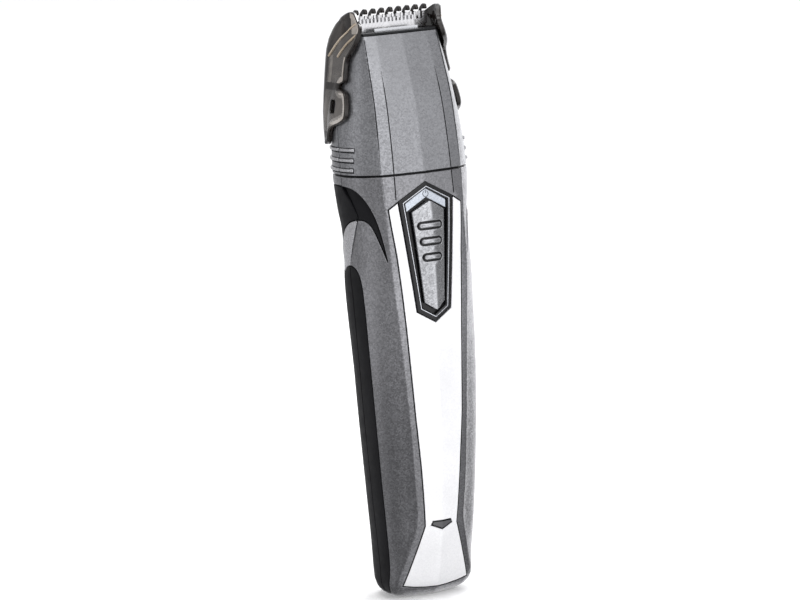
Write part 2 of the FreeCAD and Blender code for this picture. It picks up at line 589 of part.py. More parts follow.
# (y, z) outlines
COMB_SIDE = [(-3.6, 130.5), (-2.6, 128.6), (0.5, 127.6), (30, 127.6), (30, 165), (3.0, 165),
             (2.2, 163.6), (0.6, 160.8), (-2.2, 158.6), (-3.2, 155.5), (-3.4, 146),
             (-2.4, 144.4), (-3.6, 143.2)]
COMB_WINDOW = [(-2.4, 134.2), (-1.4, 133.4), (0.2, 134.2), (0.2, 138.6), (-0.8, 139.4),
               (-2.4, 138.6)]
COMB_FIN = [(-0.9, 164.9), (-0.3, 165.4), (1.2, 165.0), (3.2, 163.0), (9.2, 153), (12.6, 146),
            (9.6, 146), (5.6, 155), (2.6, 161.6), (2.0, 163.5), (-0.7, 163.9)]
COMB_RAIL = [(9.6, 146), (12.6, 146), (10.9, 149.6), (7.9, 149.6)]
FIN_PITCH = 2.7
FIN_COUNT = 9


def comb_loft(out_x, out_y):
    wires = []
    for z, section_z in COMB_Z:
        wire = section_wire(section_z, -out_x, -out_y)
        wire.translate(V(0, 0, z - section_z))
        wires.append(wire)
    return solid_loft(wires)


guard = comb_loft(2.5, 3.4).cut(comb_loft(0.9, 1.8)).common(side_prism(COMB_SIDE))
guard = guard.cut(side_prism(COMB_WINDOW))
guard = guard.cut(mid_box(9.5, 4, BIG, 120, 141.5))     # opening low in the back
fins = []
for i in range(FIN_COUNT):
    x = (i - FIN_COUNT // 2) * FIN_PITCH
    fins.append(side_prism(COMB_FIN, x - 0.45, x + 0.45))
comb = guard.multiFuse(fins + [side_prism(COMB_RAIL, -12.3, 12.3)])
# slots between the fins through the guard's upper back
slots = [mid_box(0.88, 1.75, BIG, 150.2, 170, (i + 0.5) * FIN_PITCH)
         for i in range(-(FIN_COUNT // 2), FIN_COUNT // 2)]
comb = comb.cut(slots[0].multiFuse(slots[1:]))
comb = comb.cut(head_outer.fuse(loft(RIB_Z, -0.6)))
put("comb", comb.removeSplitter())
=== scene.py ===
"""A trimmer standing upright on its foot, with a comb round its head.

Z is up and the foot rests at z = 0. The front, with the power slider, faces -Y and +X is its
right as seen from the front. The body is symmetric about x = 0.
Shapes are in millimetres and are scaled to metres when a piece is made. Materials, lights
and the camera are in metres.

The casing parts all lie on a chart, which maps (across, along) to the skin of the trimmer.
"""
import bpy
import copy
import math
import numpy as np
from mathutils import Matrix, Vector
from mathutils.geometry import delaunay_2d_cdt


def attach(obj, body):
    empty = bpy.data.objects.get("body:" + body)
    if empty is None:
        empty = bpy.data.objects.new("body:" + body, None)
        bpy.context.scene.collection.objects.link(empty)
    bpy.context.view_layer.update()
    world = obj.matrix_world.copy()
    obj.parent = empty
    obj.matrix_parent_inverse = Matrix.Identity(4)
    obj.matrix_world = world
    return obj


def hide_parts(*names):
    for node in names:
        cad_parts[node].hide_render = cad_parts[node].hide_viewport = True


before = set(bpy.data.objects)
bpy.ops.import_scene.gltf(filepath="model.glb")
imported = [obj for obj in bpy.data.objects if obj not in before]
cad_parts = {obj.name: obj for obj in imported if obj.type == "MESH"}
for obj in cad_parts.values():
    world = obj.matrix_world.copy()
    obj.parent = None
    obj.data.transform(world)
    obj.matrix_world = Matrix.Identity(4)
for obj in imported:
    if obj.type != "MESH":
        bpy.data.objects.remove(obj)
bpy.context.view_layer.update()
MM = 0.001
SIDES = ((-1, "left"), (1, "right"))

# ---------------------------------------------------------------------------
# Skin: cross-sections of the trimmer by height
# ---------------------------------------------------------------------------
SEAM_Z, SEAM_GAP = 119.0, 0.12      # seam between handle and head
HANDLE_TOP = SEAM_Z - SEAM_GAP
HEAD_BASE = SEAM_Z + SEAM_GAP
HEAD_TOP = 156.9
HEAD_CHART_TOP = 157.4
FOOT_HEIGHT, FOOT_INSET = 5.0, 4.6  # rounding of the skin toward the floor

# Each entry: heights z, then the value at each height.
SECTION_TABLES = {
    # y of the front ridge
    "front": ([0, 4, 10, 19, 27, 39, 55, 83, 100, 119, 136.5, 150, 158],
              [-9.4, -10.3, -11.8, -13.7, -14.8, -15.7, -16.2, -16.0, -15.3, -13.9, -11.4,
               -7.6, -4.9]),
    # inner crease: x, and distance in y behind the ridge
    "inner_x": ([0, 3.6, 12, 20.8, 39, 52, 76, 86.5, 100, 119, 140, 158],
                [10.6, 10.0, 7.4, 5.2, 6.5, 7.6, 8.9, 9.4, 9.4, 9.1, 8.7, 7.9]),
    "inner_back": ([0, 12, 22, 60, 85, 100, 119, 140, 158],
                   [2.2, 1.3, 0.9, 1.1, 1.1, 0.9, 0.75, 0.5, 0.3]),
    # outer crease: the same
    "outer_x": ([0, 4, 12, 23, 31, 57, 78, 94, 110, 119, 140, 158],
                [12.0, 11.9, 9.7, 7.3, 7.85, 9.4, 10.8, 11.9, 12.3, 12.6, 12.2, 11.4]),
    "outer_back": ([0, 12, 22, 60, 85, 100, 119, 140, 158],
                   [3.3, 1.9, 1.25, 1.45, 1.5, 1.55, 1.6, 1.1, 0.7]),
    # half width, and y where it is reached
    "half_width": ([0, 10, 30, 60, 88, 95, 102, 110, 119, 132, 145, 158],
                   [12.85, 13.75, 15.3, 17.05, 18.0, 17.55, 17.3, 18.4, 19.05, 18.25, 15.7,
                    12.8]),
    "widest_y": ([0, 20, 60, 92, 119, 140, 158], [-1.0, -4.6, -5.3, -2.0, -1.3, 1.8, 1.5]),
    # y of the middle of the back
    "rear": ([0, 10, 30, 60, 90, 104, 119, 132, 145, 152, 158],
             [10.9, 12.1, 12.2, 12.6, 12.5, 13.9, 15.0, 14.1, 11.2, 8.4, 5.4]),
}


def smooth_curve(xs, ys):
    """Monotone cubic through the points, held level beyond both ends."""
    last = len(xs) - 1
    widths = [xs[i + 1] - xs[i] for i in range(last)]
    slopes = [(ys[i + 1] - ys[i]) / widths[i] for i in range(last)]
    tangents = [slopes[0]] + [0.0] * (last - 1) + [slopes[-1]]
    for i in range(1, last):
        if slopes[i - 1] * slopes[i] > 0:
            before = 2 * widths[i] + widths[i - 1]
            after = widths[i] + 2 * widths[i - 1]
            tangents[i] = (before + after) / (before / slopes[i - 1] + after / slopes[i])

    def value(x):
        x = min(max(x, xs[0]), xs[-1])
        i = 0
        while i < last - 1 and x > xs[i + 1]:
            i += 1
        part = (x - xs[i]) / widths[i]
        square, cube = part * part, part * part * part
        return ((2 * cube - 3 * square + 1) * ys[i]
                + (cube - 2 * square + part) * widths[i] * tangents[i]
                + (3 * square - 2 * cube) * ys[i + 1]
                + (cube - square) * widths[i] * tangents[i + 1])

    return value


SECTION = {name: smooth_curve(*table) for name, table in SECTION_TABLES.items()}
RIDGE_POINTS, CREASE_POINTS = 30, 20
INNER_INDEX = RIDGE_POINTS - 1
OUTER_INDEX = INNER_INDEX + CREASE_POINTS - 1


def bezier(controls, count):
    part = np.linspace(0, 1, count)[:, None]
    controls = np.array(controls, float)
    return ((1 - part) ** 3 * controls[0] + 3 * (1 - part) ** 2 * part * controls[1]
            + 3 * (1 - part) * part * part * controls[2] + part ** 3 * controls[3])


def half_section(z, shrink=0.0):
    """Half outline at height z, from front ridge to middle of the back, drawn in by shrink."""
    size = {name: curve(z) for name, curve in SECTION.items()}
    front, rear = size["front"], size["rear"]
    half_width, widest_y = size["half_width"], size["widest_y"]
    inner = (size["inner_x"], front + size["inner_back"])
    outer = (size["outer_x"], front + size["outer_back"])
    widest = (half_width, widest_y)
    lean = math.radians(38)
    reach = math.hypot(widest[0] - outer[0], widest[1] - outer[1])
    flank = bezier([outer,
                    (outer[0] + math.cos(lean) * reach * 0.35,
                     outer[1] + math.sin(lean) * reach * 0.35),
                    (half_width, widest_y - reach * 0.45), widest], 60)
    back = bezier([widest, (half_width, widest_y + (rear - widest_y) * 0.62),
                   (half_width * 0.62, rear), (0.0, rear)], 90)
    points = np.vstack([np.linspace((0.0, front), inner, RIDGE_POINTS),
                        np.linspace(inner, outer, CREASE_POINTS)[1:], flank[1:], back[1:]])
    middle, half_depth = (front + rear) / 2, (rear - front) / 2
    return np.stack([points[:, 0] * (1 - shrink / half_width),
                     middle + (points[:, 1] - middle) * (1 - shrink / half_depth)], 1)


def foot_round(z):
    if z >= FOOT_HEIGHT:
        return 0.0
    part = (FOOT_HEIGHT - max(z, 0.0)) / FOOT_HEIGHT
    return FOOT_INSET * (1 - math.sqrt(max(0.0, 1 - part * part * 0.96)))


# ---------------------------------------------------------------------------
# Charts
# ---------------------------------------------------------------------------
ROW_POINTS = 1300   # points in each resampled half outline
HALF_SPAN = 50.0    # value of across at the far end of a half outline
CORNER_SOFTNESS = 0.2


def even_steps(points):
    """Arc length at each point, and the line resampled in equal steps."""
    arc = np.concatenate([[0], np.cumsum(np.hypot(*np.diff(points, axis=0).T))])
    places = np.linspace(0, arc[-1], ROW_POINTS)
    even = [np.interp(places, arc, points[:, 0]), np.interp(places, arc, points[:, 1])]
    return arc, np.stack(even, 1)


def chart_row(points):
    """Softened even outline, and where the inner and outer creases fall on it, 0 to 1."""
    arc, even = even_steps(points)
    x, y = even.T
    reach = max(1, int(round(CORNER_SOFTNESS / (arc[-1] / ROW_POINTS))))
    kernel = np.ones(2 * reach + 1) / (2 * reach + 1)
    for _ in range(2):
        long_x = np.concatenate([-x[reach:0:-1], x, -x[-2:-reach - 2:-1]])
        long_y = np.concatenate([y[reach:0:-1], y, y[-2:-reach - 2:-1]])
        x, y = np.convolve(long_x, kernel, "valid"), np.convolve(long_y, kernel, "valid")
    return np.stack([x, y], 1), arc[INNER_INDEX] / arc[-1], arc[OUTER_INDEX] / arc[-1]


class Chart:
    """Maps (across, along) to the skin.

    across runs from 0 at the front ridge to HALF_SPAN at the middle of the back, or the other
    way on a rear chart. It is negative on the left. along is the distance up the skin.
    """

    def __init__(self, levels, heights, rows, rear=False):
        self.levels, self.heights, self.rear = np.array(levels), np.array(heights), rear
        self.table, inner, outer = (np.array(part) for part in zip(*rows))
        self.creases = {"inner": inner, "outer": outer}

    def back(self):
        chart = copy.copy(self)
        chart.rear = True
        return chart

    def point(self, across, along):
        side = np.where(across < 0, -1.0, 1.0)
        place = np.clip(np.abs(across) / HALF_SPAN, 0, 1)
        if self.rear:
            place = 1 - place
        place = place * (ROW_POINTS - 1)
        i = np.clip(place.astype(int), 0, ROW_POINTS - 2)
        right = (place - i)[..., None]
        levels, table = self.levels, self.table
        level = np.clip(along, levels[0], levels[-1])
        j = np.clip(np.searchsorted(levels, level) - 1, 0, len(levels) - 2)
        rise = ((level - levels[j]) / (levels[j + 1] - levels[j]))[..., None]
        xy = ((table[j, i] * (1 - right) + table[j, i + 1] * right) * (1 - rise)
              + (table[j + 1, i] * (1 - right) + table[j + 1, i + 1] * right) * rise)
        z = self.heights[j] * (1 - rise[..., 0]) + self.heights[j + 1] * rise[..., 0]
        return np.stack([side * xy[..., 0], xy[..., 1], z], -1)

    def normal_of(self, surface, across, along, step):
        normal = np.cross(surface(across + step, along) - surface(across - step, along),
                          surface(across, along + step) - surface(across, along - step))
        normal /= np.maximum(np.linalg.norm(normal, axis=-1, keepdims=True), 1e-12)
        return -normal if self.rear else normal

    def normal(self, across, along):
        return self.normal_of(self.point, across, along, 0.25)

    def level(self, z):
        return float(np.interp(z, self.heights, self.levels))

    def height(self, along):
        return np.interp(along, self.levels, self.heights)

    def row(self, z):
        level = self.level(z)
        j = int(np.clip(np.searchsorted(self.levels, level) - 1, 0, len(self.levels) - 2))
        part = (level - self.levels[j]) / (self.levels[j + 1] - self.levels[j])
        return self.table[j] * (1 - part) + self.table[j + 1] * part

    def from_face(self, points):
        """(x, z) points on the front, or on the back of a rear chart, to (across, along)."""
        out = []
        for x, z in points:
            row = self.row(z)
            if self.rear:
                row = row[::-1]
            widest = int(np.argmax(row[:, 0]))
            place = np.interp(abs(x), row[:widest, 0], np.arange(widest))
            out.append((math.copysign(place / (ROW_POINTS - 1) * HALF_SPAN, x), self.level(z)))
        return out

    def from_side(self, points, side=1):
        """(y, z) points in side view to (across, along); side is 1 right, -1 left."""
        out = []
        for y, z in points:
            place = np.interp(y, self.row(z)[:, 1], np.arange(ROW_POINTS)) / (ROW_POINTS - 1)
            if self.rear:
                place = 1 - place
            out.append((side * HALF_SPAN * place, self.level(z)))
        return out

    def crease(self, along, name):
        """across of a crease on a front chart."""
        return np.interp(along, self.levels, self.creases[name]) * HALF_SPAN


def build_chart(heights, footed=False):
    """Chart through the half sections; a footed one goes on inward under the floor edge."""
    heights = list(heights)
    levels, rows = [], []
    level, before = 0.0, None
    for z in heights:
        shrink = foot_round(z)
        if before is not None:
            level += math.hypot(z - before[0], shrink - before[1])
        before = (z, shrink)
        levels.append(level)
        rows.append(chart_row(half_section(z, shrink)))
    if footed:
        width, radius, count = 5.4, 3.62, 12    # ring under the foot, ending at this radius
        points, inner, outer = rows[0]
        circle = points / np.hypot(points[:, 0], points[:, 1])[:, None] * radius
        under = range(count, 0, -1)
        parts = [k / count for k in under]
        rows = [(points * (1 - part) + circle * part, inner, outer) for part in parts] + rows
        levels = [levels[0] - width * part for part in parts] + levels
        heights = [heights[0] - 1e-6 * k for k in under] + heights
    return Chart(levels, heights, rows)


BODY = build_chart(
    [FOOT_HEIGHT * (1 - math.cos(math.pi / 2 * k / 24)) for k in range(25)]
    + [FOOT_HEIGHT + 0.5 * k for k in range(1, 228)] + [HANDLE_TOP], footed=True)
BODY_REAR = BODY.back()
HEAD = build_chart([HEAD_BASE] + [119.5 + 0.45 * k for k in range(84)] + [HEAD_CHART_TOP])
HEAD_REAR = HEAD.back()
FOOT_LEVEL = BODY.levels[0]


# ---------------------------------------------------------------------------
# Lines and loops in the plane
# ---------------------------------------------------------------------------
def area(loop):
    x, y = loop[:, 0], loop[:, 1]
    return 0.5 * float(np.sum(x * np.roll(y, -1) - np.roll(x, -1) * y))


def counterclockwise(loop):
    loop = np.array(loop, float)
    return loop if area(loop) > 0 else loop[::-1]


def clockwise(loop):
    loop = np.array(loop, float)
    return loop if area(loop) < 0 else loop[::-1]


def line(points, step):
    """Splits an open line into parts no longer than step."""
    points = [np.array(point, float) for point in points]
    out = []
    for start, end in zip(points[:-1], points[1:]):
        count = max(1, int(math.ceil(np.linalg.norm(end - start) / step)))
        out += [tuple(start + (end - start) * k / count) for k in range(count)]
    return out + [tuple(points[-1])]


def ring(points, step):
    """Splits a closed outline into parts no longer than step."""
    return line(points + points[:1], step)[:-1]


def smooth_line(points):
    """Corner cutting on an open line, ends kept."""
    points = [np.array(point, float) for point in points]
    for _ in range(2):
        out = [points[0]]
        for start, end in zip(points[:-1], points[1:]):
            out += [start * 0.75 + end * 0.25, start * 0.25 + end * 0.75]
        points = out + [points[-1]]
    return points


def chain(*parts):
    """Joins lines end to end, dropping repeated points."""
    out = []
    for part in parts:
        for point in part:
            if not out or math.hypot(out[-1][0] - point[0], out[-1][1] - point[1]) > 1e-4:
                out.append(tuple(point))
    return out


def mirrored(points):
    return [(-across, other) for across, other in points]


def symmetric(points):
    """A half outline completed with its mirror image."""
    return points + [(-x, z) for x, z in reversed(points) if abs(x) > 1e-6]


def mirrored_loop(right, step=1.2):
    """Closed loop from a line on the right and its mirror image, their ends bridged."""
    left = mirrored(right[::-1])
    return (right + line([right[-1], left[0]], step)[1:-1]
            + left + line([left[-1], right[0]], step)[1:-1])


def offset_loop(loop, distance, limit=1.8):
    """Moves a closed loop to its left by distance; limit caps the stretch at corners."""
    edges = np.roll(loop, -1, 0) - loop
    edges /= np.maximum(np.linalg.norm(edges, axis=1, keepdims=True), 1e-9)
    normals = np.stack([-edges[:, 1], edges[:, 0]], 1)
    sums = normals + np.roll(normals, 1, 0)
    square = np.sum(sums * sums, 1, keepdims=True)
    root = np.sqrt(np.maximum(square, 1e-12))
    stretch = np.minimum(2 / np.maximum(square, 1e-6) * root, limit) / root
    return loop + sums * stretch * distance


def line_distance(points, path):
    """Distance of each point from an open line."""
    nearest = np.full(len(points), 1e9)
    for start, end in zip(path[:-1], path[1:]):
        edge = end - start
        part = np.clip(((points - start) @ edge) / max(edge @ edge, 1e-12), 0, 1)
        gap = points - start - part[:, None] * edge
        nearest = np.minimum(nearest, np.hypot(*gap.T))
    return nearest


def loop_distance(points, loops):
    nearest = np.full(len(points), 1e9)
    for loop in loops:
        nearest = np.minimum(nearest, line_distance(points, np.vstack([loop, loop[:1]])))
    return nearest


def clean_pair(loop, distance):
    """The loop and its offset with the same points, folded ones dropped."""
    for _ in range(12):
        moved = offset_loop(loop, distance)
        edges = np.roll(loop, -1, 0) - loop
        moved_edges = np.roll(moved, -1, 0) - moved
        bad = loop_distance(moved, [loop]) < 0.8 * abs(distance)
        back = np.sum(edges * moved_edges, 1) <= 0
        bad |= back & ~np.roll(bad, -1) & (np.arange(len(loop)) % 2 == 0)
        if back.any() and not bad.any():
            bad = back
        if not bad.any():
            break
        loop = loop[~bad]
    return loop, moved


def inset(loop, distance):
    return clean_pair(counterclockwise(loop), distance)[1]


def inside_loops(points, loops):
    inside = np.zeros(len(points), bool)
    x, y = points[:, 0], points[:, 1]
    for loop in loops:
        for (x0, y0), (x1, y1) in zip(loop, np.roll(loop, -1, 0)):
            if y0 == y1:
                continue
            crosses = (y0 > y) != (y1 > y)
            inside ^= crosses & (x < (x1 - x0) * (y - y0) / (y1 - y0) + x0)
    return inside


def triangulate(loops, interior=np.zeros((0, 2))):
    """Points and counterclockwise triangles between the loops."""
    points = np.vstack(loops + [interior])
    edges, first = [], 0
    for loop in loops:
        size = len(loop)
        edges += [(first + i, first + (i + 1) % size) for i in range(size)]
        first += size
    result = delaunay_2d_cdt([Vector(point) for point in points], edges, [], 0, 1e-6)
    if len(result[0]) != len(points):
        raise RuntimeError("triangulation changed the points: %d to %d"
                           % (len(points), len(result[0])))
    original = [sources[0] for sources in result[3]]
    triangles = np.array([[original[i] for i in face] for face in result[2]])
    triangles = triangles[inside_loops(points[triangles].mean(1), loops)]
    a, b, c = (points[triangles[:, k]] for k in range(3))
    turn = (b[:, 0] - a[:, 0]) * (c[:, 1] - a[:, 1]) - (b[:, 1] - a[:, 1]) * (c[:, 0] - a[:, 0])
    triangles[turn < 0] = triangles[turn < 0][:, ::-1]
    return points, triangles


# ---------------------------------------------------------------------------
# Pieces and the solids added to them
# ---------------------------------------------------------------------------
MATERIALS = {}      # by name, filled as each material is made


class Piece:
    """Mesh that replaces the CAD node of the same name; it moves with the given body."""

    def __init__(self, name, body, *materials):
        self.name, self.body, self.materials = name, body, materials
        self.verts, self.faces, self.normals, self.slots = [], [], [], []
        self.count = 0

    def add(self, verts, faces, normals=None, slot=0, flip=False):
        """Adds geometry; without normals it gets the automatic ones."""
        self.verts.append(verts)
        self.normals.append(np.zeros_like(verts) if normals is None else normals)
        for face in faces:
            face = [int(i) + self.count for i in face]
            self.faces.append(face[::-1] if flip else face)
            self.slots.append(slot)
        self.count += len(verts)

    def make(self, sharp=38):
        """Builds the object; sharp is the angle in degrees above which edges stay hard."""
        name = "trimmer_" + self.name
        mesh = bpy.data.meshes.new(name)
        verts = np.vstack(self.verts) * MM
        mesh.from_pydata([tuple(vert) for vert in verts], [], self.faces)
        for material in self.materials:
            mesh.materials.append(MATERIALS[material])
        mesh.polygons.foreach_set("material_index", np.array(self.slots, dtype=np.int32))
        mesh.polygons.foreach_set("use_smooth", [True] * len(self.faces))
        mesh.update()
        mesh.set_sharp_from_angle(angle=math.radians(sharp))
        normals = np.vstack(self.normals)
        if np.any(normals):
            corners = np.zeros(len(mesh.loops), dtype=np.int32)
            mesh.loops.foreach_get("vertex_index", corners)
            mesh.normals_split_custom_set([tuple(normal) for normal in normals[corners]])
        thing = bpy.data.objects.new(name, mesh)
        bpy.context.scene.collection.objects.link(thing)
        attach(thing, self.body)
        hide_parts(self.name)


def strip_faces(lower, upper, size):
    """Quads between two closed rows of vertices, given by their first indices."""
    return [(lower + i, lower + (i + 1) % size, upper + (i + 1) % size, upper + i)
            for i in range(size)]


EDGE_SEGMENTS = 4
# Extra columns round each crease and round the ridge, as offsets in across
CREASE_SPREAD = np.array([-0.6, -0.38, -0.24, -0.15, -0.07, 0, 0.07, 0.15, 0.24, 0.38, 0.6])
RIDGE_SPREAD = [-0.5, -0.3, -0.15, 0.001, 0.15, 0.3, 0.5]


def crowd_columns(chart, columns, along):
    for name in ("inner", "outer"):
        crease = float(chart.crease(along, name))
        for side in (-1, 1):
            columns = columns[np.abs(columns - side * crease) > 0.75]
            columns = np.concatenate([columns, side * crease + CREASE_SPREAD])
    return np.concatenate([columns[np.abs(columns) > 0.7], RIDGE_SPREAD])


def sheet(piece, chart, loops, top=0.0, depth=1.4, edge=0.25, step=(1.1, 1.8), slot=0,
          creases=False, paint=None):
    """Adds a closed panel that follows the chart.

    loops: the outline, then any holes, as (across, along).
    top: height above the skin, a number or a function of (across, along).
    depth: distance of the back below the skin.
    edge: radius that the upper edges are rolled over with.
    step: grid spacing across and along.
    creases: adds grid columns where the skin bends.
    paint: function of (across, along) that gives the material slots of the top faces.
    """
    def surface(across, along):
        rise = top(across, along) if callable(top) else top + 0 * across
        return chart.point(across, along) + chart.normal(across, along) * rise[..., None]

    pairs = [clean_pair((clockwise if i else counterclockwise)(loop), edge)
             for i, loop in enumerate(loops)]
    inner_loops = [inner for _, inner in pairs]
    low, high = inner_loops[0].min(0), inner_loops[0].max(0)
    step_across, step_along = step
    rows = np.concatenate([[low[1] + 0.2],
                           np.arange(low[1] + step_along * 0.5, high[1] - 0.35, step_along),
                           [high[1] - 0.2]])
    start = math.floor(low[0] / step_across) * step_across + step_across * 0.5
    columns = np.arange(start, high[0], step_across)
    grid = []
    for along in rows:
        row = crowd_columns(chart, columns, along) if creases else columns
        grid += [(across, along) for across in row]
    grid = np.array(grid, float).reshape(-1, 2)
    grid = grid[inside_loops(grid, inner_loops)]
    grid = grid[loop_distance(grid, inner_loops) > 0.16]

    flat, triangles = triangulate(inner_loops, grid)
    verts = [surface(*flat.T)]
    normals = [chart.normal_of(surface, *flat.T, 0.05)]
    faces = [tuple(triangle) for triangle in triangles]
    first, count = 0, len(flat)
    back = np.zeros(len(flat), int)
    for outer, inner in pairs:
        size = len(outer)
        out = chart.normal(*outer.T)
        sideways = surface(*outer.T) - surface(*inner.T)
        sideways -= out * np.sum(sideways * out, 1, keepdims=True)
        sideways /= np.maximum(np.linalg.norm(sideways, axis=1, keepdims=True), 1e-9)
        layers = []
        for k in range(1, EDGE_SEGMENTS + 1):
            turn = math.pi / 2 * k / EDGE_SEGMENTS
            place = inner + (outer - inner) * math.sin(turn)
            layers.append((surface(*place.T) - out * edge * (1 - math.cos(turn)),
                           out * math.cos(turn) + sideways * math.sin(turn)))
        layers.append((chart.point(*outer.T) - out * depth, sideways))
        layers.append((chart.point(*inner.T) - out * (depth + 0.001), -out))
        below = first
        for layer_verts, layer_normals in layers:
            verts.append(layer_verts)
            normals.append(layer_normals)
            faces += [face[::-1] for face in strip_faces(below, count, size)]
            below = count
            count += size
        back[first:first + size] = np.arange(below, below + size)
        first += size

    # The back repeats the triangles of the top
    interior = flat[first:]
    back[first:] = np.arange(count, count + len(interior))
    out = chart.normal(*interior.T)
    verts.append(chart.point(*interior.T) - out * depth)
    normals.append(-out)
    faces += [tuple(back[triangle[::-1]]) for triangle in triangles]
    start = len(piece.slots)
    piece.add(np.vstack(verts), faces, np.vstack(normals), slot, flip=chart.rear)
    if paint is not None:
        slots = paint(*flat[triangles].mean(1).T)
        piece.slots[start:start + len(triangles)] = slots.tolist()


def crease_shade_line(piece, chart, name, low, high, fade_low=0, fade_high=0):
    """Fine line of painted shade in a crease on both sides, thinning over the fade lengths at
    its ends.
    """
    along = np.arange(chart.level(low), chart.level(high), 0.7)
    z = chart.height(along)
    middle = chart.crease(along, name)
    half_width = np.full(len(along), 0.15)
    if fade_low:
        half_width = half_width * np.clip((z - low) / fade_low, 0.25, 1)
    if fade_high:
        half_width = half_width * np.clip((high - z) / fade_high, 0.25, 1)
    for side in (-1, 1):
        loop = np.vstack([np.stack([side * (middle + half_width), along], 1),
                          np.stack([side * (middle - half_width), along], 1)[::-1]])
        # black strip in slot 1: painted shade
        sheet(piece, chart, [loop], top=0.012, depth=0.3, edge=0.012, step=(9, 9), slot=1)


def moulding(piece, chart, loop, profile, slot=0):
    """Closed moulding that follows a loop; profile is (distance inward, height) points."""
    loop = counterclockwise(loop)
    size = len(loop)
    verts, faces = [], []
    for k, (distance, height) in enumerate(profile):
        moved = offset_loop(loop, distance, limit=3.0)
        verts.append(chart.point(*moved.T) + chart.normal(*moved.T) * height)
        faces += strip_faces(k * size, (k + 1) % len(profile) * size, size)
    piece.add(np.vstack(verts), faces, slot=slot)


def plate(piece, outline, plane, low, high, edge):
    """Bevelled plate: outline in plane 'yz' or 'xz', from low to high on the third axis."""
    outline = counterclockwise(outline)
    inner = offset_loop(outline, edge)
    triangles = triangulate([inner])[1]
    size = len(outline)

    def layer(points, place):
        place = np.full(len(points), place)
        if plane == "yz":
            return np.stack([place, points[:, 0], points[:, 1]], 1)
        return np.stack([points[:, 0], place, points[:, 1]], 1)

    bevel = []
    for k in range(1, 4):
        turn = math.pi / 2 * k / 3
        bevel.append((inner + (outline - inner) * math.sin(turn),
                      edge * (1 - math.cos(turn))))
    layers = [layer(inner, low)]
    layers += [layer(points, low + rise) for points, rise in bevel]
    layers += [layer(points, high - rise) for points, rise in reversed(bevel)]
    layers.append(layer(inner, high))
    last = len(layers) - 1
    faces = []
    for k in range(last):
        faces += strip_faces(k * size, (k + 1) * size, size)
    faces += [tuple(triangle[::-1]) for triangle in triangles]
    faces += [tuple(triangle + last * size) for triangle in triangles]
    piece.add(np.vstack(layers), faces, flip=(plane == "xz"))


def liner(piece, chart, reach, depth):
    """Closed inner skin of the handle, in slot 1, from depth to 2.1 under the surface."""
    columns, rows = 40, 60
    across, along = (part.ravel() for part in np.meshgrid(
        np.linspace(-reach, reach, columns),
        np.linspace(BODY.level(1.9), BODY.level(HANDLE_TOP) - 0.3, rows)))
    out, skin = chart.normal(across, along), chart.point(across, along)
    size = len(across)
    faces = []
    for j in range(rows - 1):
        for i in range(columns - 1):
            k = j * columns + i
            faces.append((k, k + 1, k + columns + 1, k + columns))
            faces.append(tuple(size + n for n in (k, k + columns, k + columns + 1, k + 1)))
    index = np.arange(size).reshape(rows, columns)
    rim = [*index[0], *index[1:, -1], *index[-1, -2::-1], *index[-2:0:-1, 0]]
    faces += [(k, size + k, size + n, n) for k, n in zip(rim, rim[1:] + rim[:1])]
    piece.add(np.vstack([skin - out * depth, skin - out * 2.1]), faces, slot=1,
              flip=chart.rear)


def rounded_bar(middle, width, height, radius):
    """Rounded rectangle at across 0 and along middle."""
    out = []
    for side, end, start in ((1, -1, -90), (1, 1, 0), (-1, 1, 90), (-1, -1, 180)):
        for k in range(8):
            angle = math.radians(start + 90 * k / 7)
            out.append((side * (width / 2 - radius) + radius * math.cos(angle),
                        middle + end * (height / 2 - radius) + radius * math.sin(angle)))
    return out


# ---------------------------------------------------------------------------
# Materials: all procedural
# ---------------------------------------------------------------------------
class Graph:
    """Short ways to add shader nodes to a node tree."""

    def __init__(self, tree):
        self.tree = tree

    def feed(self, socket, value):
        """Links an output to the socket, or sets the socket to a value."""
        if isinstance(value, bpy.types.NodeSocket):
            self.tree.links.new(value, socket)
        else:
            socket.default_value = (*value, 1.0) if socket.type == "RGBA" else value

    def node(self, kind, inputs, **settings):
        node = self.tree.nodes.new(kind)
        for name, value in settings.items():
            setattr(node, name, value)
        for socket, value in inputs.items():
            self.feed(node.inputs[socket], value)
        return node

    def ramp(self, factor, stops, interpolation="LINEAR"):
        """Colour ramp; stops are (position, colour or gray)."""
        node = self.node("ShaderNodeValToRGB", {"Fac": factor})
        node.color_ramp.interpolation = interpolation
        elements = node.color_ramp.elements
        while len(elements) < len(stops):
            elements.new(0.5)
        for k, (position, color) in enumerate(stops):
            elements[k].position = position
            elements[k].color = (*(color if isinstance(color, tuple) else (color,) * 3), 1.0)
        return node.outputs["Color"]

    def remap(self, value, to, source=(0.3, 0.7)):
        """Maps the source range to the range to."""
        return self.node("ShaderNodeMapRange", {
            "From Min": source[0], "From Max": source[1],
            "To Min": to[0], "To Max": to[1], "Value": value}).outputs["Result"]

    def math(self, operation, first, second):
        return self.node("ShaderNodeMath", {0: first, 1: second},
                         operation=operation).outputs[0]

    def vector(self, operation, inputs):
        return self.node("ShaderNodeVectorMath", inputs, operation=operation).outputs[0]

    def mix(self, factor, first, second, blend="MIX"):
        return self.node("ShaderNodeMix", {0: factor, 6: first, 7: second},
                         data_type="RGBA", blend_type=blend).outputs[2]


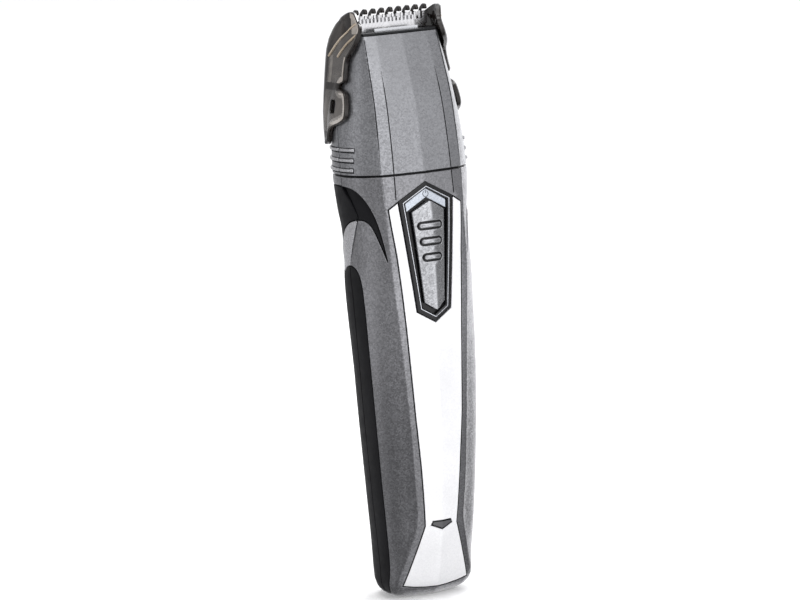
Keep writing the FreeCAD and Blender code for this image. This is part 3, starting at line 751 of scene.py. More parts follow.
class Mat(Graph):
    """A material; its textures lie in object coordinates."""

    def __init__(self, name, inputs):
        material = bpy.data.materials.new(name)
        material.use_nodes = True
        super().__init__(material.node_tree)
        self.shade(inputs)
        self.position = self.node("ShaderNodeTexCoord", {}).outputs["Object"]
        MATERIALS[name] = material

    def shade(self, inputs):
        """Sets or links inputs of the Principled shader."""
        for name, value in inputs.items():
            self.feed(self.tree.nodes["Principled BSDF"].inputs[name], value)

    def coords(self, scale=(1, 1, 1)):
        return self.node("ShaderNodeMapping",
                         {"Vector": self.position, "Scale": scale}).outputs["Vector"]

    def noise(self, scale, detail=3.0, rough=0.55, stretch=(1, 1, 1), distortion=0.0):
        return self.node("ShaderNodeTexNoise", {
            "Scale": scale, "Detail": detail, "Roughness": rough, "Distortion": distortion,
            "Vector": self.coords(stretch)}).outputs["Fac"]

    def bump(self, height, strength, distance):
        self.shade({"Normal": self.node("ShaderNodeBump", {
            "Strength": strength, "Distance": distance, "Height": height}).outputs["Normal"]})


FLAKE_SCALE = 2600


def flake_paint(name, dark, mid, light, metal, rough, amount, tilt, coat=0.25, painted_light_by_height=None):
    """Metallic lacquer: small flakes that differ in brightness and tilt, over a slow random
    shift.

    amount spreads the ramp stops, tilt is how far flakes lean, and the last argument lists
    (part of the lowest 0.12 m, brightness): painted light and shade by height.
    """
    mat = Mat(name, {"Metallic": metal, "Coat Weight": coat, "Coat Roughness": 0.16})
    cells = mat.node("ShaderNodeTexVoronoi", {"Scale": FLAKE_SCALE, "Vector": mat.coords()})
    cell_color = cells.outputs["Color"]
    channels = mat.node("ShaderNodeSeparateColor", {"Color": cell_color}).outputs
    fine = mat.noise(scale=FLAKE_SCALE * 0.9, detail=2.0, rough=0.6)
    flake = mat.math("ADD", mat.math("MULTIPLY", channels[0], 0.6),
                     mat.math("MULTIPLY", fine, 0.4))
    color = mat.ramp(flake, [(0.5 - amount * 0.5, dark), (0.5, mid),
                             (0.5 + amount * 0.5, light)])
    drift_and_painted_light = mat.remap(mat.noise(scale=45, detail=2.0), to=(0.93, 1.06))
    # Brightness by height over the lowest 0.12 m: painted light and shade
    if painted_light_by_height is not None:
        z = mat.node("ShaderNodeSeparateXYZ", {0: mat.position}).outputs["Z"]
        part = mat.remap(z, source=(0.0, 0.12), to=(0.0, 1.0))
        drift_and_painted_light = mat.math("MULTIPLY", drift_and_painted_light, mat.ramp(part, painted_light_by_height))
    toned = mat.node("ShaderNodeHueSaturation", {"Value": drift_and_painted_light, "Color": color})
    wear = mat.remap(mat.noise(scale=260, detail=4.0, rough=0.65), source=(0.3, 0.75),
                     to=(rough - 0.04, rough + 0.07))
    mat.shade({"Base Color": toned.outputs["Color"],
               "Roughness": mat.math("ADD", wear, mat.math("MULTIPLY", channels[1], 0.06))})
    normal = mat.node("ShaderNodeNewGeometry", {}).outputs["Normal"]
    centred = mat.vector("SUBTRACT", {0: cell_color, 1: (0.5, 0.5, 0.5)})
    lean = mat.vector("SCALE", {0: centred, "Scale": tilt})
    mat.shade({"Normal": mat.vector("NORMALIZE", {0: mat.vector("ADD", {0: normal, 1: lean})})})


def plastic(name, color, rough, coat=0.0, grain=900, bump=0.12, vary=0.12, spec=0.5):
    """Plastic with a fine grain; vary is the spread of its colour."""
    mat = Mat(name, {"Coat Weight": coat, "Coat Roughness": 0.08, "Specular IOR Level": spec})
    dark = tuple(part * (1 - vary) for part in color)
    light = tuple(min(1.0, part * (1 + vary)) for part in color)
    mat.shade({"Base Color": mat.ramp(mat.noise(scale=60), [(0.3, dark), (0.7, light)])})
    mat.shade({"Roughness": mat.remap(mat.noise(scale=420, detail=4.0, rough=0.6),
                                      to=(max(0.03, rough - 0.06), rough + 0.08))})
    mat.bump(mat.noise(scale=grain * 4, detail=2.0, rough=0.5), strength=bump,
             distance=0.00005)


def steel(name, color, rough, along, scratch, bump=0.08):
    """Brushed metal with scratches along one axis."""
    mat = Mat(name, {"Metallic": 1.0, "Anisotropic": 0.35})
    stretch = tuple(0.03 if axis == along else 1 for axis in "xyz")
    brushing = mat.noise(scale=scratch, detail=4.0, rough=0.6, stretch=stretch)
    mat.shade({"Base Color": mat.ramp(brushing, [
        (0.25, tuple(part * 0.82 for part in color)),
        (0.75, tuple(min(1, part * 1.1) for part in color))])})
    mat.shade({"Roughness": mat.math(
        "ADD", mat.remap(brushing, to=(rough - 0.05, rough + 0.1)),
        mat.remap(mat.noise(scale=120, detail=2.0), to=(-0.02, 0.05)))})
    mat.bump(brushing, strength=bump, distance=0.00003)


def board_material():
    """Green circuit board with faint tracks."""
    mat = Mat("board_green", {"Coat Weight": 0.35})
    cloud = mat.noise(scale=70)
    tracks = mat.node("ShaderNodeTexBrick", {
        "Vector": mat.coords((330, 330, 330)),
        "Color1": (0.012, 0.105, 0.045), "Color2": (0.010, 0.090, 0.040),
        "Mortar": (0.03, 0.19, 0.09), "Mortar Size": 0.04}).outputs
    mat.shade({"Base Color": mat.mix(mat.remap(cloud, to=(0.0, 0.35)), tracks["Color"],
                                     (0.02, 0.14, 0.06))})
    mat.shade({"Roughness": mat.remap(mat.noise(scale=500), to=(0.22, 0.34))})
    mat.bump(tracks["Fac"], strength=0.2, distance=0.00005)


def comb_material(name, dark, mid, light, trans, rough, spec=0.6, coat=0.5):
    """Smoky brown-gray clear moulding: tinted, partly see-through, glossy."""
    mat = Mat(name, {"Transmission Weight": trans, "IOR": 1.46, "Coat Weight": coat,
                     "Coat Roughness": 0.03, "Specular IOR Level": spec})
    cloud = mat.noise(scale=70, rough=0.6, distortion=0.8)
    mat.shade({"Base Color": mat.ramp(cloud, [(0.3, dark), (0.52, mid), (0.75, light)])})
    mat.shade({"Roughness": mat.remap(mat.noise(scale=300), to=(rough * 0.6, rough * 1.5))})
    mat.bump(mat.noise(scale=160, detail=2.0), strength=0.08, distance=0.0002)


# The shell paint is darker below z = 0.05 m and brightest near z = 0.086 m: painted shade and
# painted light by height
flake_paint("shell_metallic", (0.150, 0.150, 0.157), (0.215, 0.215, 0.225), (0.30, 0.30, 0.315),
            metal=0.82, rough=0.29, coat=0.2, amount=0.8, tilt=0.10,
            painted_light_by_height=[(0.0, 0.69), (0.36, 0.65), (0.56, 0.98), (0.72, 1.2), (0.8, 1.05),
                  (1.0, 1.05)])
flake_paint("head_metallic", (0.18, 0.181, 0.19), (0.255, 0.258, 0.27), (0.35, 0.355, 0.372),
            metal=0.82, rough=0.30, coat=0.2, amount=0.8, tilt=0.10)
# A lighter copy of the shell paint, for the side bulges and the tops of the head ribs: painted
# light
flake_paint("shell_painted_light", (0.37, 0.37, 0.385), (0.47, 0.47, 0.487), (0.58, 0.58, 0.60),
            metal=0.7, rough=0.26, coat=0.3, amount=0.8, tilt=0.08)
# The silver panel darkens toward its lower end: painted shade by height
flake_paint("panel_silver", (0.90, 0.90, 0.915), (0.94, 0.94, 0.952), (0.98, 0.98, 0.99),
            metal=0.12, rough=0.34, coat=0.3, amount=0.7, tilt=0.06,
            painted_light_by_height=[(0.0, 0.78), (0.12, 0.84), (0.2, 0.93), (0.9, 0.97)])
flake_paint("slider_silver", (0.33, 0.335, 0.345), (0.42, 0.425, 0.44), (0.54, 0.55, 0.565),
            metal=0.9, rough=0.24, coat=0.15, amount=0.7, tilt=0.08)
flake_paint("icon_gray", (0.45, 0.49, 0.54), (0.56, 0.60, 0.66), (0.68, 0.73, 0.79),
            metal=0.5, rough=0.3, amount=0.8, tilt=0.08)
flake_paint("trim_line", (0.52, 0.54, 0.57), (0.70, 0.72, 0.76), (0.86, 0.88, 0.92),
            metal=0.85, rough=0.22, amount=0.8, tilt=0.08)
plastic("bezel_black", (0.004, 0.004, 0.005), rough=0.16, coat=0.12, bump=0.03, vary=0.25,
        spec=0.28)
plastic("soft_black", (0.0065, 0.0065, 0.008), rough=0.52, bump=0.3, grain=1100, vary=0.3,
        spec=0.16)
plastic("rim_black", (0.008, 0.0085, 0.010), rough=0.34, bump=0.15, vary=0.25, spec=0.25)
plastic("inner_black", (0.005, 0.005, 0.006), rough=0.45, bump=0.2, vary=0.25, spec=0.15)
plastic("inner_natural", (0.66, 0.65, 0.61), rough=0.42, bump=0.2, vary=0.07)
plastic("lens_gray", (0.055, 0.055, 0.06), rough=0.12, coat=0.5, bump=0.02, vary=0.2)
plastic("mark_gray", (0.14, 0.15, 0.17), rough=0.35, bump=0.05)
plastic("cell_sleeve", (0.03, 0.16, 0.19), rough=0.22, coat=0.4, bump=0.05, vary=0.18)
plastic("led_clear", (0.82, 0.82, 0.78), rough=0.1, coat=0.4, bump=0.02)
steel("steel", (0.60, 0.61, 0.63), rough=0.20, along="x", scratch=2400)
steel("blade_steel", (0.66, 0.66, 0.67), rough=0.24, along="x", scratch=3000, bump=0.05)
steel("motor_steel", (0.46, 0.47, 0.49), rough=0.3, along="z", scratch=1500)
steel("contact_nickel", (0.66, 0.63, 0.58), rough=0.26, along="y", scratch=2400)
board_material()
comb_material("comb_smoke", (0.008, 0.0065, 0.006), (0.022, 0.018, 0.016),
              (0.07, 0.058, 0.05), trans=0.15, rough=0.10, spec=0.35, coat=0.2)
# Lighter copies of the smoke, painted light: a lit strip, a mid tone, a bright edge highlight
# and a golden highlight for the raised lines
comb_material("comb_smoke_lit", (0.10, 0.087, 0.075), (0.27, 0.245, 0.22),
              (0.50, 0.47, 0.44), trans=0.3, rough=0.12)
comb_material("comb_smoke_half_lit", (0.035, 0.030, 0.027), (0.10, 0.089, 0.08),
              (0.21, 0.19, 0.175), trans=0.2, rough=0.12)
comb_material("comb_edge_highlight", (0.24, 0.21, 0.18), (0.46, 0.42, 0.38), (0.80, 0.77, 0.74),
              trans=0.1, rough=0.14)
comb_material("comb_rib_highlight", (0.36, 0.27, 0.18), (0.62, 0.52, 0.40), (0.85, 0.78, 0.68),
              trans=0.1, rough=0.14)

# ---------------------------------------------------------------------------
# Handle outlines
# ---------------------------------------------------------------------------
GAP = 0.15              # each casing edge is drawn in by this
SIDE_GRIP_TOP = 93.9    # heights at which outlines meet the parting line
REST_LOW, REST_TOP = 107.0, 116.0

# (y, z), upwards: where the front and rear casings meet
PARTING = [(-0.8, 0), (-1.7, 10), (-2.0, 28), (-2.3, 50), (-2.5, 65), (-2.7, 79), (-2.4, 86.6),
           (-1.3, 92.2), (-1.0, SIDE_GRIP_TOP), (-1.6, 96.1), (-2.9, 99.9), (-4.5, 103.8),
           (-6.2, REST_LOW), (-6.3, 108.3), (-5.4, 110.1), (-4.2, 112.3), (-2.5, 114.2),
           (-1.1, REST_TOP), (-1.1, HANDLE_TOP)]

# (x, z) on the front: right halves, from the top middle down
PANEL = [(0, 116.5), (8.6, 111.8), (11.7, 109.8), (11.3, 105), (10.4, 97), (9.6, 86.5),
         (8.9, 76), (7.6, 52), (6.5, 39), (5.2, 20.8), (10.5, 3.7), (7, 2.95), (3.5, 2.55),
         (0, 2.45)]
BEZEL = PANEL[:2] + [(5.3, 81.1), (0, 77.9)]
SLIDER = [(0, 111.2), (5.0, 108.45), (3.1, 83.4), (0, 81.3)]
# (x, z) on the front: whole outlines
ICON = [(0, 114.75), (6.45, 110.9), (6.25, 108.7), (0, 112.2), (-6.25, 108.7), (-6.45, 110.9)]
LENS = [(2.8, 21.8), (3.2, 20.9), (0, 19.5), (-3.2, 20.9), (-2.8, 21.8)]

# (y, z) in side view: upper and lower edges of the thumb rest
THUMB_UPPER = [(-1.1, REST_TOP), (-4.4, 115.75), (-6.5, 115.0), (-8.05, 113.6), (-9.55, 111.35),
               (-10.7, 108.6), (-11.6, 105.4), (-12.3, 102.1), (-12.9, 98.5), (-13.35, 95.6)]
THUMB_LOWER = [(-13.35, 95.6), (-12.65, 98.3), (-11.7, 101.3), (-10.4, 104.8), (-9.35, 106.25),
               (-8.0, 107.0), (-6.2, REST_LOW)]
# (y, z) in side view: front edge of the side grip, downwards
SIDE_FRONT = [(-1.0, SIDE_GRIP_TOP), (-2.45, 93.8), (-4.4, 93.0), (-5.85, 91.2), (-6.7, 88.4),
              (-7.05, 84.2), (-7.4, 79.5), (-7.9, 65.7), (-8.0, 57), (-7.8, 43), (-7.4, 29),
              (-6.95, 17.4), (-6.0, 8.6), (-5.5, 5.2), (-4.6, 2.6), (-3.4, 1.3)]
# (y, z) in side view: edge between the rear grip and the bulge on each side
REAR_CURVE = [(-6.2, REST_LOW), (-3.0, 106.4), (-0.5, 105.1), (1.7, 103.4), (3.6, 100.6),
              (5.2, 97.2), (5.9, 94.4), (5.6, 92.2), (4.4, 91.5), (2.2, 92.7), (0.6, 93.7),
              (-1.0, SIDE_GRIP_TOP)]


def parting(low, high):
    """The parting line between two heights, upwards, as (y, z)."""
    ys, zs = zip(*PARTING)
    heights = [low] + [z for z in zs if low + 1e-6 < z < high - 1e-6] + [high]
    return [(float(np.interp(z, zs, ys)), z) for z in heights]


THUMB_EDGES = chain(line(smooth_line(THUMB_UPPER), 0.7), line(smooth_line(THUMB_LOWER), 0.7))
PANEL_LOOP = BODY.from_face(ring(symmetric(PANEL), 0.9))
BEZEL_LOOP = counterclockwise(BODY.from_face(ring(symmetric(BEZEL), 0.9)))
LENS_LOOP = BODY.from_face(ring(LENS, 0.7))


def to_foot(edge):
    """Extends a line straight to the lowest level of the body chart."""
    across, level = edge[-1]
    return edge + [(across, along) for along in np.linspace(level, FOOT_LEVEL, 8)[1:]]


def crease_cut(chart, across, along, name, depth):
    """Depth of the fine groove cut along a crease."""
    return depth * np.exp(-((np.abs(across) - chart.crease(along, name)) / 0.14) ** 2)


# ---------------------------------------------------------------------------
# Handle pieces
# ---------------------------------------------------------------------------
def front_shell():
    def grooves(across, along):
        """Grooves down both creases, fading out below z = 111."""
        fade = np.clip((BODY.height(along) - 108) / 3, 0, 1)
        return (-crease_cut(BODY, across, along, "inner", 0.05 * fade)
                - crease_cut(BODY, across, along, "outer", 0.03 * fade))

    # The right edge runs down the parting line, round the thumb rest and the side grip
    edge = chain(line(parting(REST_TOP, HANDLE_TOP)[::-1], 0.8), THUMB_EDGES,
                 line(parting(SIDE_GRIP_TOP, REST_LOW)[::-1], 0.8),
                 line(smooth_line(SIDE_FRONT), 1.0),
                 line([(-3.4, 1.3), (-0.9, 1.25)], 0.6),
                 line([(-0.9, 1.25), (-0.8, 0.02)], 0.5))
    outline = mirrored_loop(to_foot(BODY.from_side(edge)))
    piece = Piece("front_shell", "handle", "shell_metallic", "inner_black")
    sheet(piece, BODY, [inset(outline, GAP), PANEL_LOOP], top=grooves, depth=1.9, edge=0.2,
          step=(1.2, 1.7), creases=True)
    crease_shade_line(piece, BODY, "inner", 112.3, HANDLE_TOP - 0.12)
    liner(piece, BODY, reach=27.6, depth=1.02)
    piece.make()


def front_panel():
    """Silver panel, U-shaped round the switch frame, with a hole for the window."""
    outline = ([(8.62, 111.75)] + symmetric(PANEL[2:])
               + [(-8.62, 111.75), (-5.3, 81.1), BEZEL[3], BEZEL[2]])
    piece = Piece("front_panel", "handle", "panel_silver", "inner_black")
    hole = clean_pair(clockwise(LENS_LOOP), 0.22)[1]
    sheet(piece, BODY, [inset(BODY.from_face(ring(outline, 0.9)), 0.25), hole], depth=0.95,
          edge=0.2, step=(1.0, 1.6), creases=True)
    moulding(piece, BODY, PANEL_LOOP, [(-0.02, -1.0), (-0.02, 0.0), (0.02, 0.03),
                                       (0.22, 0.03), (0.26, 0.0), (0.26, -1.0)], slot=1)
    piece.make()


def indicator_lens():
    """Gray window in a black surround."""
    piece = Piece("indicator_lens", "handle", "lens_gray", "bezel_black")
    sheet(piece, BODY, [inset(LENS_LOOP, 0.16)], top=0.02, depth=1.6, edge=0.12,
          step=(0.8, 0.8))
    moulding(piece, BODY, offset_loop(counterclockwise(LENS_LOOP), -0.18),
             [(0, -1.0), (0, -0.06), (0.08, 0.02), (0.24, 0.02), (0.3, -0.06), (0.3, -1.0)],
             slot=1)
    piece.make()


def switch_bezel():
    """Broad gloss band, thin bright line, dark inner band and the floor of the well."""
    piece = Piece("switch_bezel", "handle", "bezel_black", "trim_line")
    bands = (
        (0.02, 0, [(0, -1.6), (0, 0.02), (0.12, 0.20), (0.40, 0.28), (0.95, 0.24),
                   (1.05, 0.14), (1.05, -1.6)]),
        (1.02, 1, [(0, -1.6), (0, 0.12), (0.06, 0.24), (0.20, 0.24), (0.28, 0.10),
                   (0.28, -1.6)]),
        (1.28, 0, [(0, -1.6), (0, 0.02), (0.10, 0.06), (0.34, -0.08), (0.42, -0.5),
                   (0.42, -1.6)]),
    )
    for distance, slot, profile in bands:
        moulding(piece, BODY, offset_loop(BEZEL_LOOP, distance), profile, slot)
    sheet(piece, BODY, [inset(BEZEL_LOOP, 1.3)], top=-0.9, depth=1.7, edge=0.05,
          step=(1.5, 2.5))
    piece.make(sharp=30)


def icon_plate():
    """Plate above the slider with a power mark: an open ring and a bar."""
    piece = Piece("icon_plate", "handle", "icon_gray", "mark_gray")
    sheet(piece, BODY, [BODY.from_face(ring(ICON, 0.7))], top=-0.42, depth=0.95, edge=0.12,
          step=(0.8, 0.8))
    middle = BODY.level(113.1)
    angles = np.linspace(math.radians(-235), math.radians(55), 26)
    open_ring = [(radius * math.cos(angle), middle + radius * math.sin(angle))
                 for radius, turn in ((0.95, angles), (0.70, angles[::-1])) for angle in turn]
    half, low, high = 0.13, middle + 0.15, middle + 1.15
    bar = [(half, low), (half, high), (-half, high), (-half, low)]
    for loop in (open_ring, bar):
        sheet(piece, BODY, [loop], top=-0.385, depth=0.6, edge=0.03, step=(5, 5), slot=1)
    piece.make()


def power_slider():
    """Ridged roof with three pill grips standing in their own slots."""
    outline = BODY.from_face(ring(symmetric(SLIDER), 0.7))

    def roof(across, along):
        z = BODY.height(along)
        half_width = np.interp(z, [81.3, 83.4, 108.2, 111.2], [2.9, 3.1, 5.35, 5.2])
        x = np.abs(BODY.point(across, along)[..., 0])
        end = np.clip((112.2 - z) / 4.0, 0, 1) ** 0.5
        slope = np.clip(half_width - np.sqrt(x * x + 0.02), 0, 9)
        return 0.35 + 0.30 * slope * (0.6 + 0.4 * end)

    # (along, across of the end) from the height and half width of each pill
    pills = [(BODY.level(z), BODY.from_face([(half, z)])[0][0])
             for z, half in ((104.5, 3.55), (100.15, 3.15), (95.8, 2.7))]
    piece = Piece("power_slider", "slider", "slider_silver", "bezel_black")
    holes = [rounded_bar(middle, 2 * end + 0.7, 2.35, 1.15) for middle, end in pills]
    sheet(piece, BODY, [outline] + holes, top=roof, depth=0.32, edge=0.16, step=(0.5, 0.7))
    for middle, end in pills:
        def pill_top(across, along, middle=middle):
            fall = 0.30 * np.clip((along - middle) / 0.9, -1, 1) ** 2
            return roof(across, along) + 0.22 - fall
        sheet(piece, BODY, [rounded_bar(middle, 2 * end - 0.45, 1.3, 0.64)], top=pill_top,
              depth=0.32, edge=0.3, step=(0.5, 0.3))
    # Black sheet under the slider, seen round the pills: painted shade in their grooves
    sheet(piece, BODY, [inset(outline, 0.4)], top=-0.05, depth=0.31, edge=0.05,
          step=(1.5, 1.5), slot=1)
    piece.make()


def thumb_grips():
    """Concave soft-touch rests, deepest toward their lower edges."""
    upper, lower = (np.array(BODY.from_side(line(smooth_line(edge), 0.7)))
                    for edge in (THUMB_UPPER, THUMB_LOWER))

    def scoop(across, along):
        places = np.stack([np.abs(across), along], 1)
        to_upper, to_lower = line_distance(places, upper), line_distance(places, lower)
        part = to_lower / np.maximum(to_upper + to_lower, 1e-6)
        deep = np.clip((BODY.height(along) - 96) / 9, 0, 1)
        return -(0.15 + 0.75 * deep * part ** 1.2)

    edge = chain(THUMB_EDGES, line(parting(REST_LOW, REST_TOP), 0.7))[:-1]
    for side, name in SIDES:
        piece = Piece("thumb_grip_" + name, "handle", "soft_black")
        sheet(piece, BODY, [inset(BODY.from_side(edge, side), 0.10)], top=scoop, depth=1.4,
              edge=0.12, step=(0.7, 0.8))
        piece.make()


def side_grips():
    edge = chain(line(smooth_line(SIDE_FRONT), 1.0), line([(-3.4, 1.3), (-0.92, 1.3)], 0.6),
                 line(parting(1.35, 93.8), 1.2))[:-1]
    for side, name in SIDES:
        piece = Piece("side_grip_" + name, "handle", "soft_black")
        sheet(piece, BODY, [inset(BODY.from_side(edge, side), 0.08)], top=0.03, depth=1.3,
              edge=0.28, step=(0.9, 1.8))
        piece.make()


def rear_grip():
    edge = chain(line(parting(REST_LOW, REST_TOP)[::-1], 0.8),
                 line(smooth_line(REAR_CURVE), 0.8),
                 line(parting(1.6, SIDE_GRIP_TOP)[::-1], 1.3))
    outline = mirrored_loop(BODY_REAR.from_side(edge), 1.3)
    piece = Piece("rear_grip", "handle", "soft_black")
    sheet(piece, BODY_REAR, [inset(outline, 0.08)], top=0.02, depth=1.2, edge=0.3,
          step=(1.3, 1.9))
    piece.make()


def rear_shell():
    """Side bulges, a band under the seam, the rear of the foot and the inner skin."""
    def swell(across, along):
        part = np.clip((BODY.height(along) - 95) / 12.5, 0, 1)
        return 0.35 * np.sin(part * math.pi)

    piece = Piece("rear_shell", "handle", "shell_metallic", "inner_black", "shell_painted_light")
    bulge = chain(line(smooth_line(REAR_CURVE), 0.7),
                  line(parting(SIDE_GRIP_TOP, REST_LOW), 0.8))[:-1]
    # The bulges take slot 2, the lighter copy of the shell paint: painted light
    for side in (-1, 1):
        sheet(piece, BODY_REAR, [inset(BODY_REAR.from_side(bulge, side), 0.12)], top=swell,
              depth=1.2, edge=0.25, step=(0.7, 0.9), slot=2)
    band = BODY_REAR.from_side(parting(116.1, HANDLE_TOP)[::-1])
    sheet(piece, BODY_REAR, [inset(ring(band + mirrored(band[::-1]), 1.2), GAP)], depth=1.9,
          edge=0.22, step=(1.3, 0.6))
    foot = to_foot(BODY_REAR.from_side(line([(-0.9, 1.5), (-0.8, 0.02)], 0.5)))
    sheet(piece, BODY_REAR, [inset(mirrored_loop(foot), GAP)], depth=1.6, edge=0.2,
          step=(1.2, 0.9))
    liner(piece, BODY_REAR, reach=23.0, depth=1.0)
    piece.make()


for build in (front_shell, front_panel, indicator_lens, switch_bezel, icon_plate, power_slider,
              thumb_grips, side_grips, rear_grip, rear_shell):
    build()

# ---------------------------------------------------------------------------
# Head casing
# ---------------------------------------------------------------------------
# (y, z): where the front and rear head casings meet
HEAD_PARTING = [(-1.1, HEAD_BASE), (-0.7, 123.4), (0.8, 132), (1.6, 145), (1.6, HEAD_TOP)]
RIB_HEIGHTS = (120.7, 123.4, 126.2)


def head_grooves(across, along):
    """The inner groove fades out upward, the outer one downward."""
    z = HEAD.height(along)
    return (-crease_cut(HEAD, across, along, "inner", np.clip((149 - z) / 8, 0, 1) * 0.05)
            - crease_cut(HEAD, across, along, "outer", np.clip((z - 122) / 10, 0, 1) * 0.05))


def rib(piece, chart, side, y_from, y_to, z):
    """Rounded rib on a painted-shadow base, level round the side of the head."""
    (start, level), (end, _) = chart.from_side([(y_from, z), (y_to, z)])
    start, end = sorted((start, end))
    half, middle = (end - start) / 2 + 0.12, (start + end) / 2
    # half length, distances below and above the level, spacing, top, edge, slot
    for reach, below, above, step, top, edge, slot in (
            # black base, reaching further below the rib than above: painted shadow
            (half, 0.62 + 0.22, 0.62, 1.2, 0.05, 0.04, 1),
            # the rib itself in the lighter copy of the paint: painted highlight
            (half - 0.1, 0.44, 0.44, 0.8, 0.52, 0.36, 2)):
        loop = ring([(middle - reach, level - below), (middle + reach, level - below),
                     (middle + reach, level + above), (middle - reach, level + above)], step)
        sheet(piece, chart, [[(side * across, along) for across, along in loop]], top=top,
              depth=0.8, edge=edge, step=(1.0, 5), slot=slot)


def head_shell(name, chart, rib_ends, **options):
    piece = Piece(name, "head", "head_metallic", "inner_black", "shell_painted_light")
    outline = mirrored_loop(chart.from_side(line(HEAD_PARTING, 1.2)))
    sheet(piece, chart, [inset(outline, GAP)], depth=1.6, edge=0.2, **options)
    if not chart.rear:
        crease_shade_line(piece, chart, "inner", HEAD_BASE + 0.12, 147.5, fade_high=5)
        crease_shade_line(piece, chart, "outer", 123.0, HEAD_TOP - 0.4, fade_low=8)
    for z in RIB_HEIGHTS:
        for side in (-1, 1):
            rib(piece, chart, side, *rib_ends, z)
    piece.make()


head_shell("head_front_shell", HEAD, rib_ends=(-6.4, -1.2), top=head_grooves, step=(1.2, 1.5),
           creases=True)
head_shell("head_rear_shell", HEAD_REAR, rib_ends=(-0.6, 9.0), step=(1.3, 1.8))

# ---------------------------------------------------------------------------
# Attachment comb: smoky guard round the head's sides and back, with nine fins
# ---------------------------------------------------------------------------
# Columns: z, half width, half width at the front edge, y of the back, depth of the rounded back
COMB_SECTIONS = [
    (126.5, 18.9, 18.9, 14.2, 9.5), (131, 18.9, 18.9, 14.3, 9.0), (136, 18.5, 18.5, 14.2, 8.0),
    (141, 17.7, 17.7, 13.9, 6.8), (145.5, 16.8, 16.8, 14.3, 6.5), (150, 16.0, 16.0, 14.6, 6.5),
    (153, 15.6, 15.3, 14.4, 6.5), (156, 15.2, 13.9, 13.2, 6.3), (158.5, 14.8, 12.9, 11.2, 6.0),
    (160.5, 14.2, 12.6, 9.4, 5.6), (162, 13.4, 12.5, 8.4, 5.4), (165, 12.4, 12.4, 8.0, 5.0),
]
COMB_WALL, COMB_CLEARANCE, COMB_FRONT_Y = 1.0, 0.28, -5.9
COMB_CENTRE_Y = 1.0     # the section is compared with the head along rays from here

# (y, z) in side view: front edge of the comb, downwards
COMB_EDGE = [
    (2.8, 161.9), (0.8, 162.7), (-1.4, 163.5), (-3.6, 163.6), (-4.1, 162.4), (-4.5, 160.9),
    (-5.2, 159.4), (-5.35, 158.2), (-5.2, 156.2), (-4.5, 154.0), (-3.3, 152.2), (-1.9, 150.7),
    (-1.8, 147.4), (-2.2, 144.6), (-0.4, 144.1), (0.7, 143.3), (0.0, 142.6), (-2.2, 142.25),
    (-3.5, 141.3), (-4.2, 138.65), (-4.45, 136.7), (-4.2, 135.0), (-3.1, 134.0), (-1.6, 133.3),
    (1.1, 132.5), (3.1, 131.5), (3.9, 129.8), (4.6, 128.0), (6.0, 127.2)]
# (y, z): small window in each side
COMB_SLOT = [(1.0, 136.2), (3.2, 136.0), (3.75, 136.6), (3.9, 139.1), (3.3, 139.6),
             (1.5, 139.55), (0.95, 138.9)]
# (y, z): raised lines on each side
COMB_LINES = ([(-4.2, 160.4), (-1.1, 158.2), (3.9, 154.4), (7.4, 151.2)],
              [(-4.6, 157.3), (-1.5, 154.9), (2.4, 151.2)])
# (y, z): outline of a fin
FIN = [(-0.95, 162.7), (-0.55, 163.6), (0.2, 163.75), (1.0, 163.3), (1.9, 162.6), (2.9, 160.9),
       (4.2, 159.0), (9.2, 153.0), (12.6, 146.0), (9.6, 146.0), (5.6, 153.6), (2.7, 158.4),
       (2.1, 160.6), (1.9, 162.0), (0.9, 162.25), (-0.7, 162.3)]
FIN_COUNT, FIN_PITCH, FIN_HALF = 9, 2.7, 0.45


def comb_value(z, column):
    return float(np.interp(z, [row[0] for row in COMB_SECTIONS],
                           [row[column] for row in COMB_SECTIONS]))


def comb_section(z):
    """Half outline, front edge to the middle of the back, kept clear of the head."""
    half, front_half, back, curve = (comb_value(z, column) for column in range(1, 5))
    turn = back - curve
    corner = (half, max(turn, 1.6))
    points = np.vstack([
        np.linspace((front_half, COMB_FRONT_Y), (half, 1.5), 40),
        np.linspace((half, 1.5), corner, 10)[1:],
        bezier([corner, (half, turn + (back - turn) * 0.75), (half * 0.62, back), (0, back)],
               90)[1:]])
    head = half_section(min(z, HEAD_CHART_TOP))[OUTER_INDEX:]
    edges = np.gradient(head, axis=0)
    out = np.stack([edges[:, 1], -edges[:, 0]], 1) / np.linalg.norm(edges, axis=1,
                                                                   keepdims=True)
    clear = head + out * (COMB_WALL + COMB_CLEARANCE)
    angles, clear_angles = (np.arctan2(line_[:, 1] - COMB_CENTRE_Y, line_[:, 0])
                            for line_ in (points, clear))
    radii, clear_radii = (np.hypot(line_[:, 0], line_[:, 1] - COMB_CENTRE_Y)
                          for line_ in (points, clear))
    order = np.argsort(clear_angles)
    radii = np.maximum(radii, np.interp(angles, clear_angles[order], clear_radii[order],
                                        left=0.0))
    return np.stack([radii * np.cos(angles), COMB_CENTRE_Y + radii * np.sin(angles)], 1)


def comb_chart():
    heights = np.arange(126.5, 164.9, 0.6)
    levels, rows = [], []
    level, before = 0.0, None
    for z in heights:
        points = comb_section(z)
        points[-1, 0] = 0.0
        rows.append((even_steps(points)[1], 0.0, 0.0))
        half = comb_value(z, 1)
        if before is not None:
            level += math.hypot(z - before[0], half - before[1])
        before = (z, half)
        levels.append(level)
    return Chart(levels, heights, rows, rear=True)


COMB = comb_chart()
COMB_FRONT = COMB.from_side(line(smooth_line(COMB_EDGE), 0.6))
# The first is the smoke itself; the others are lighter copies of it: painted light and painted
# highlights
COMB_MATERIALS = ("comb_smoke", "comb_smoke_lit", "comb_edge_highlight", "comb_rib_highlight", "comb_smoke_half_lit")
SMOKE, LIT, EDGE_HIGHLIGHT, RIB_HIGHLIGHT, HALF_LIT = range(5)      # slots of the materials above


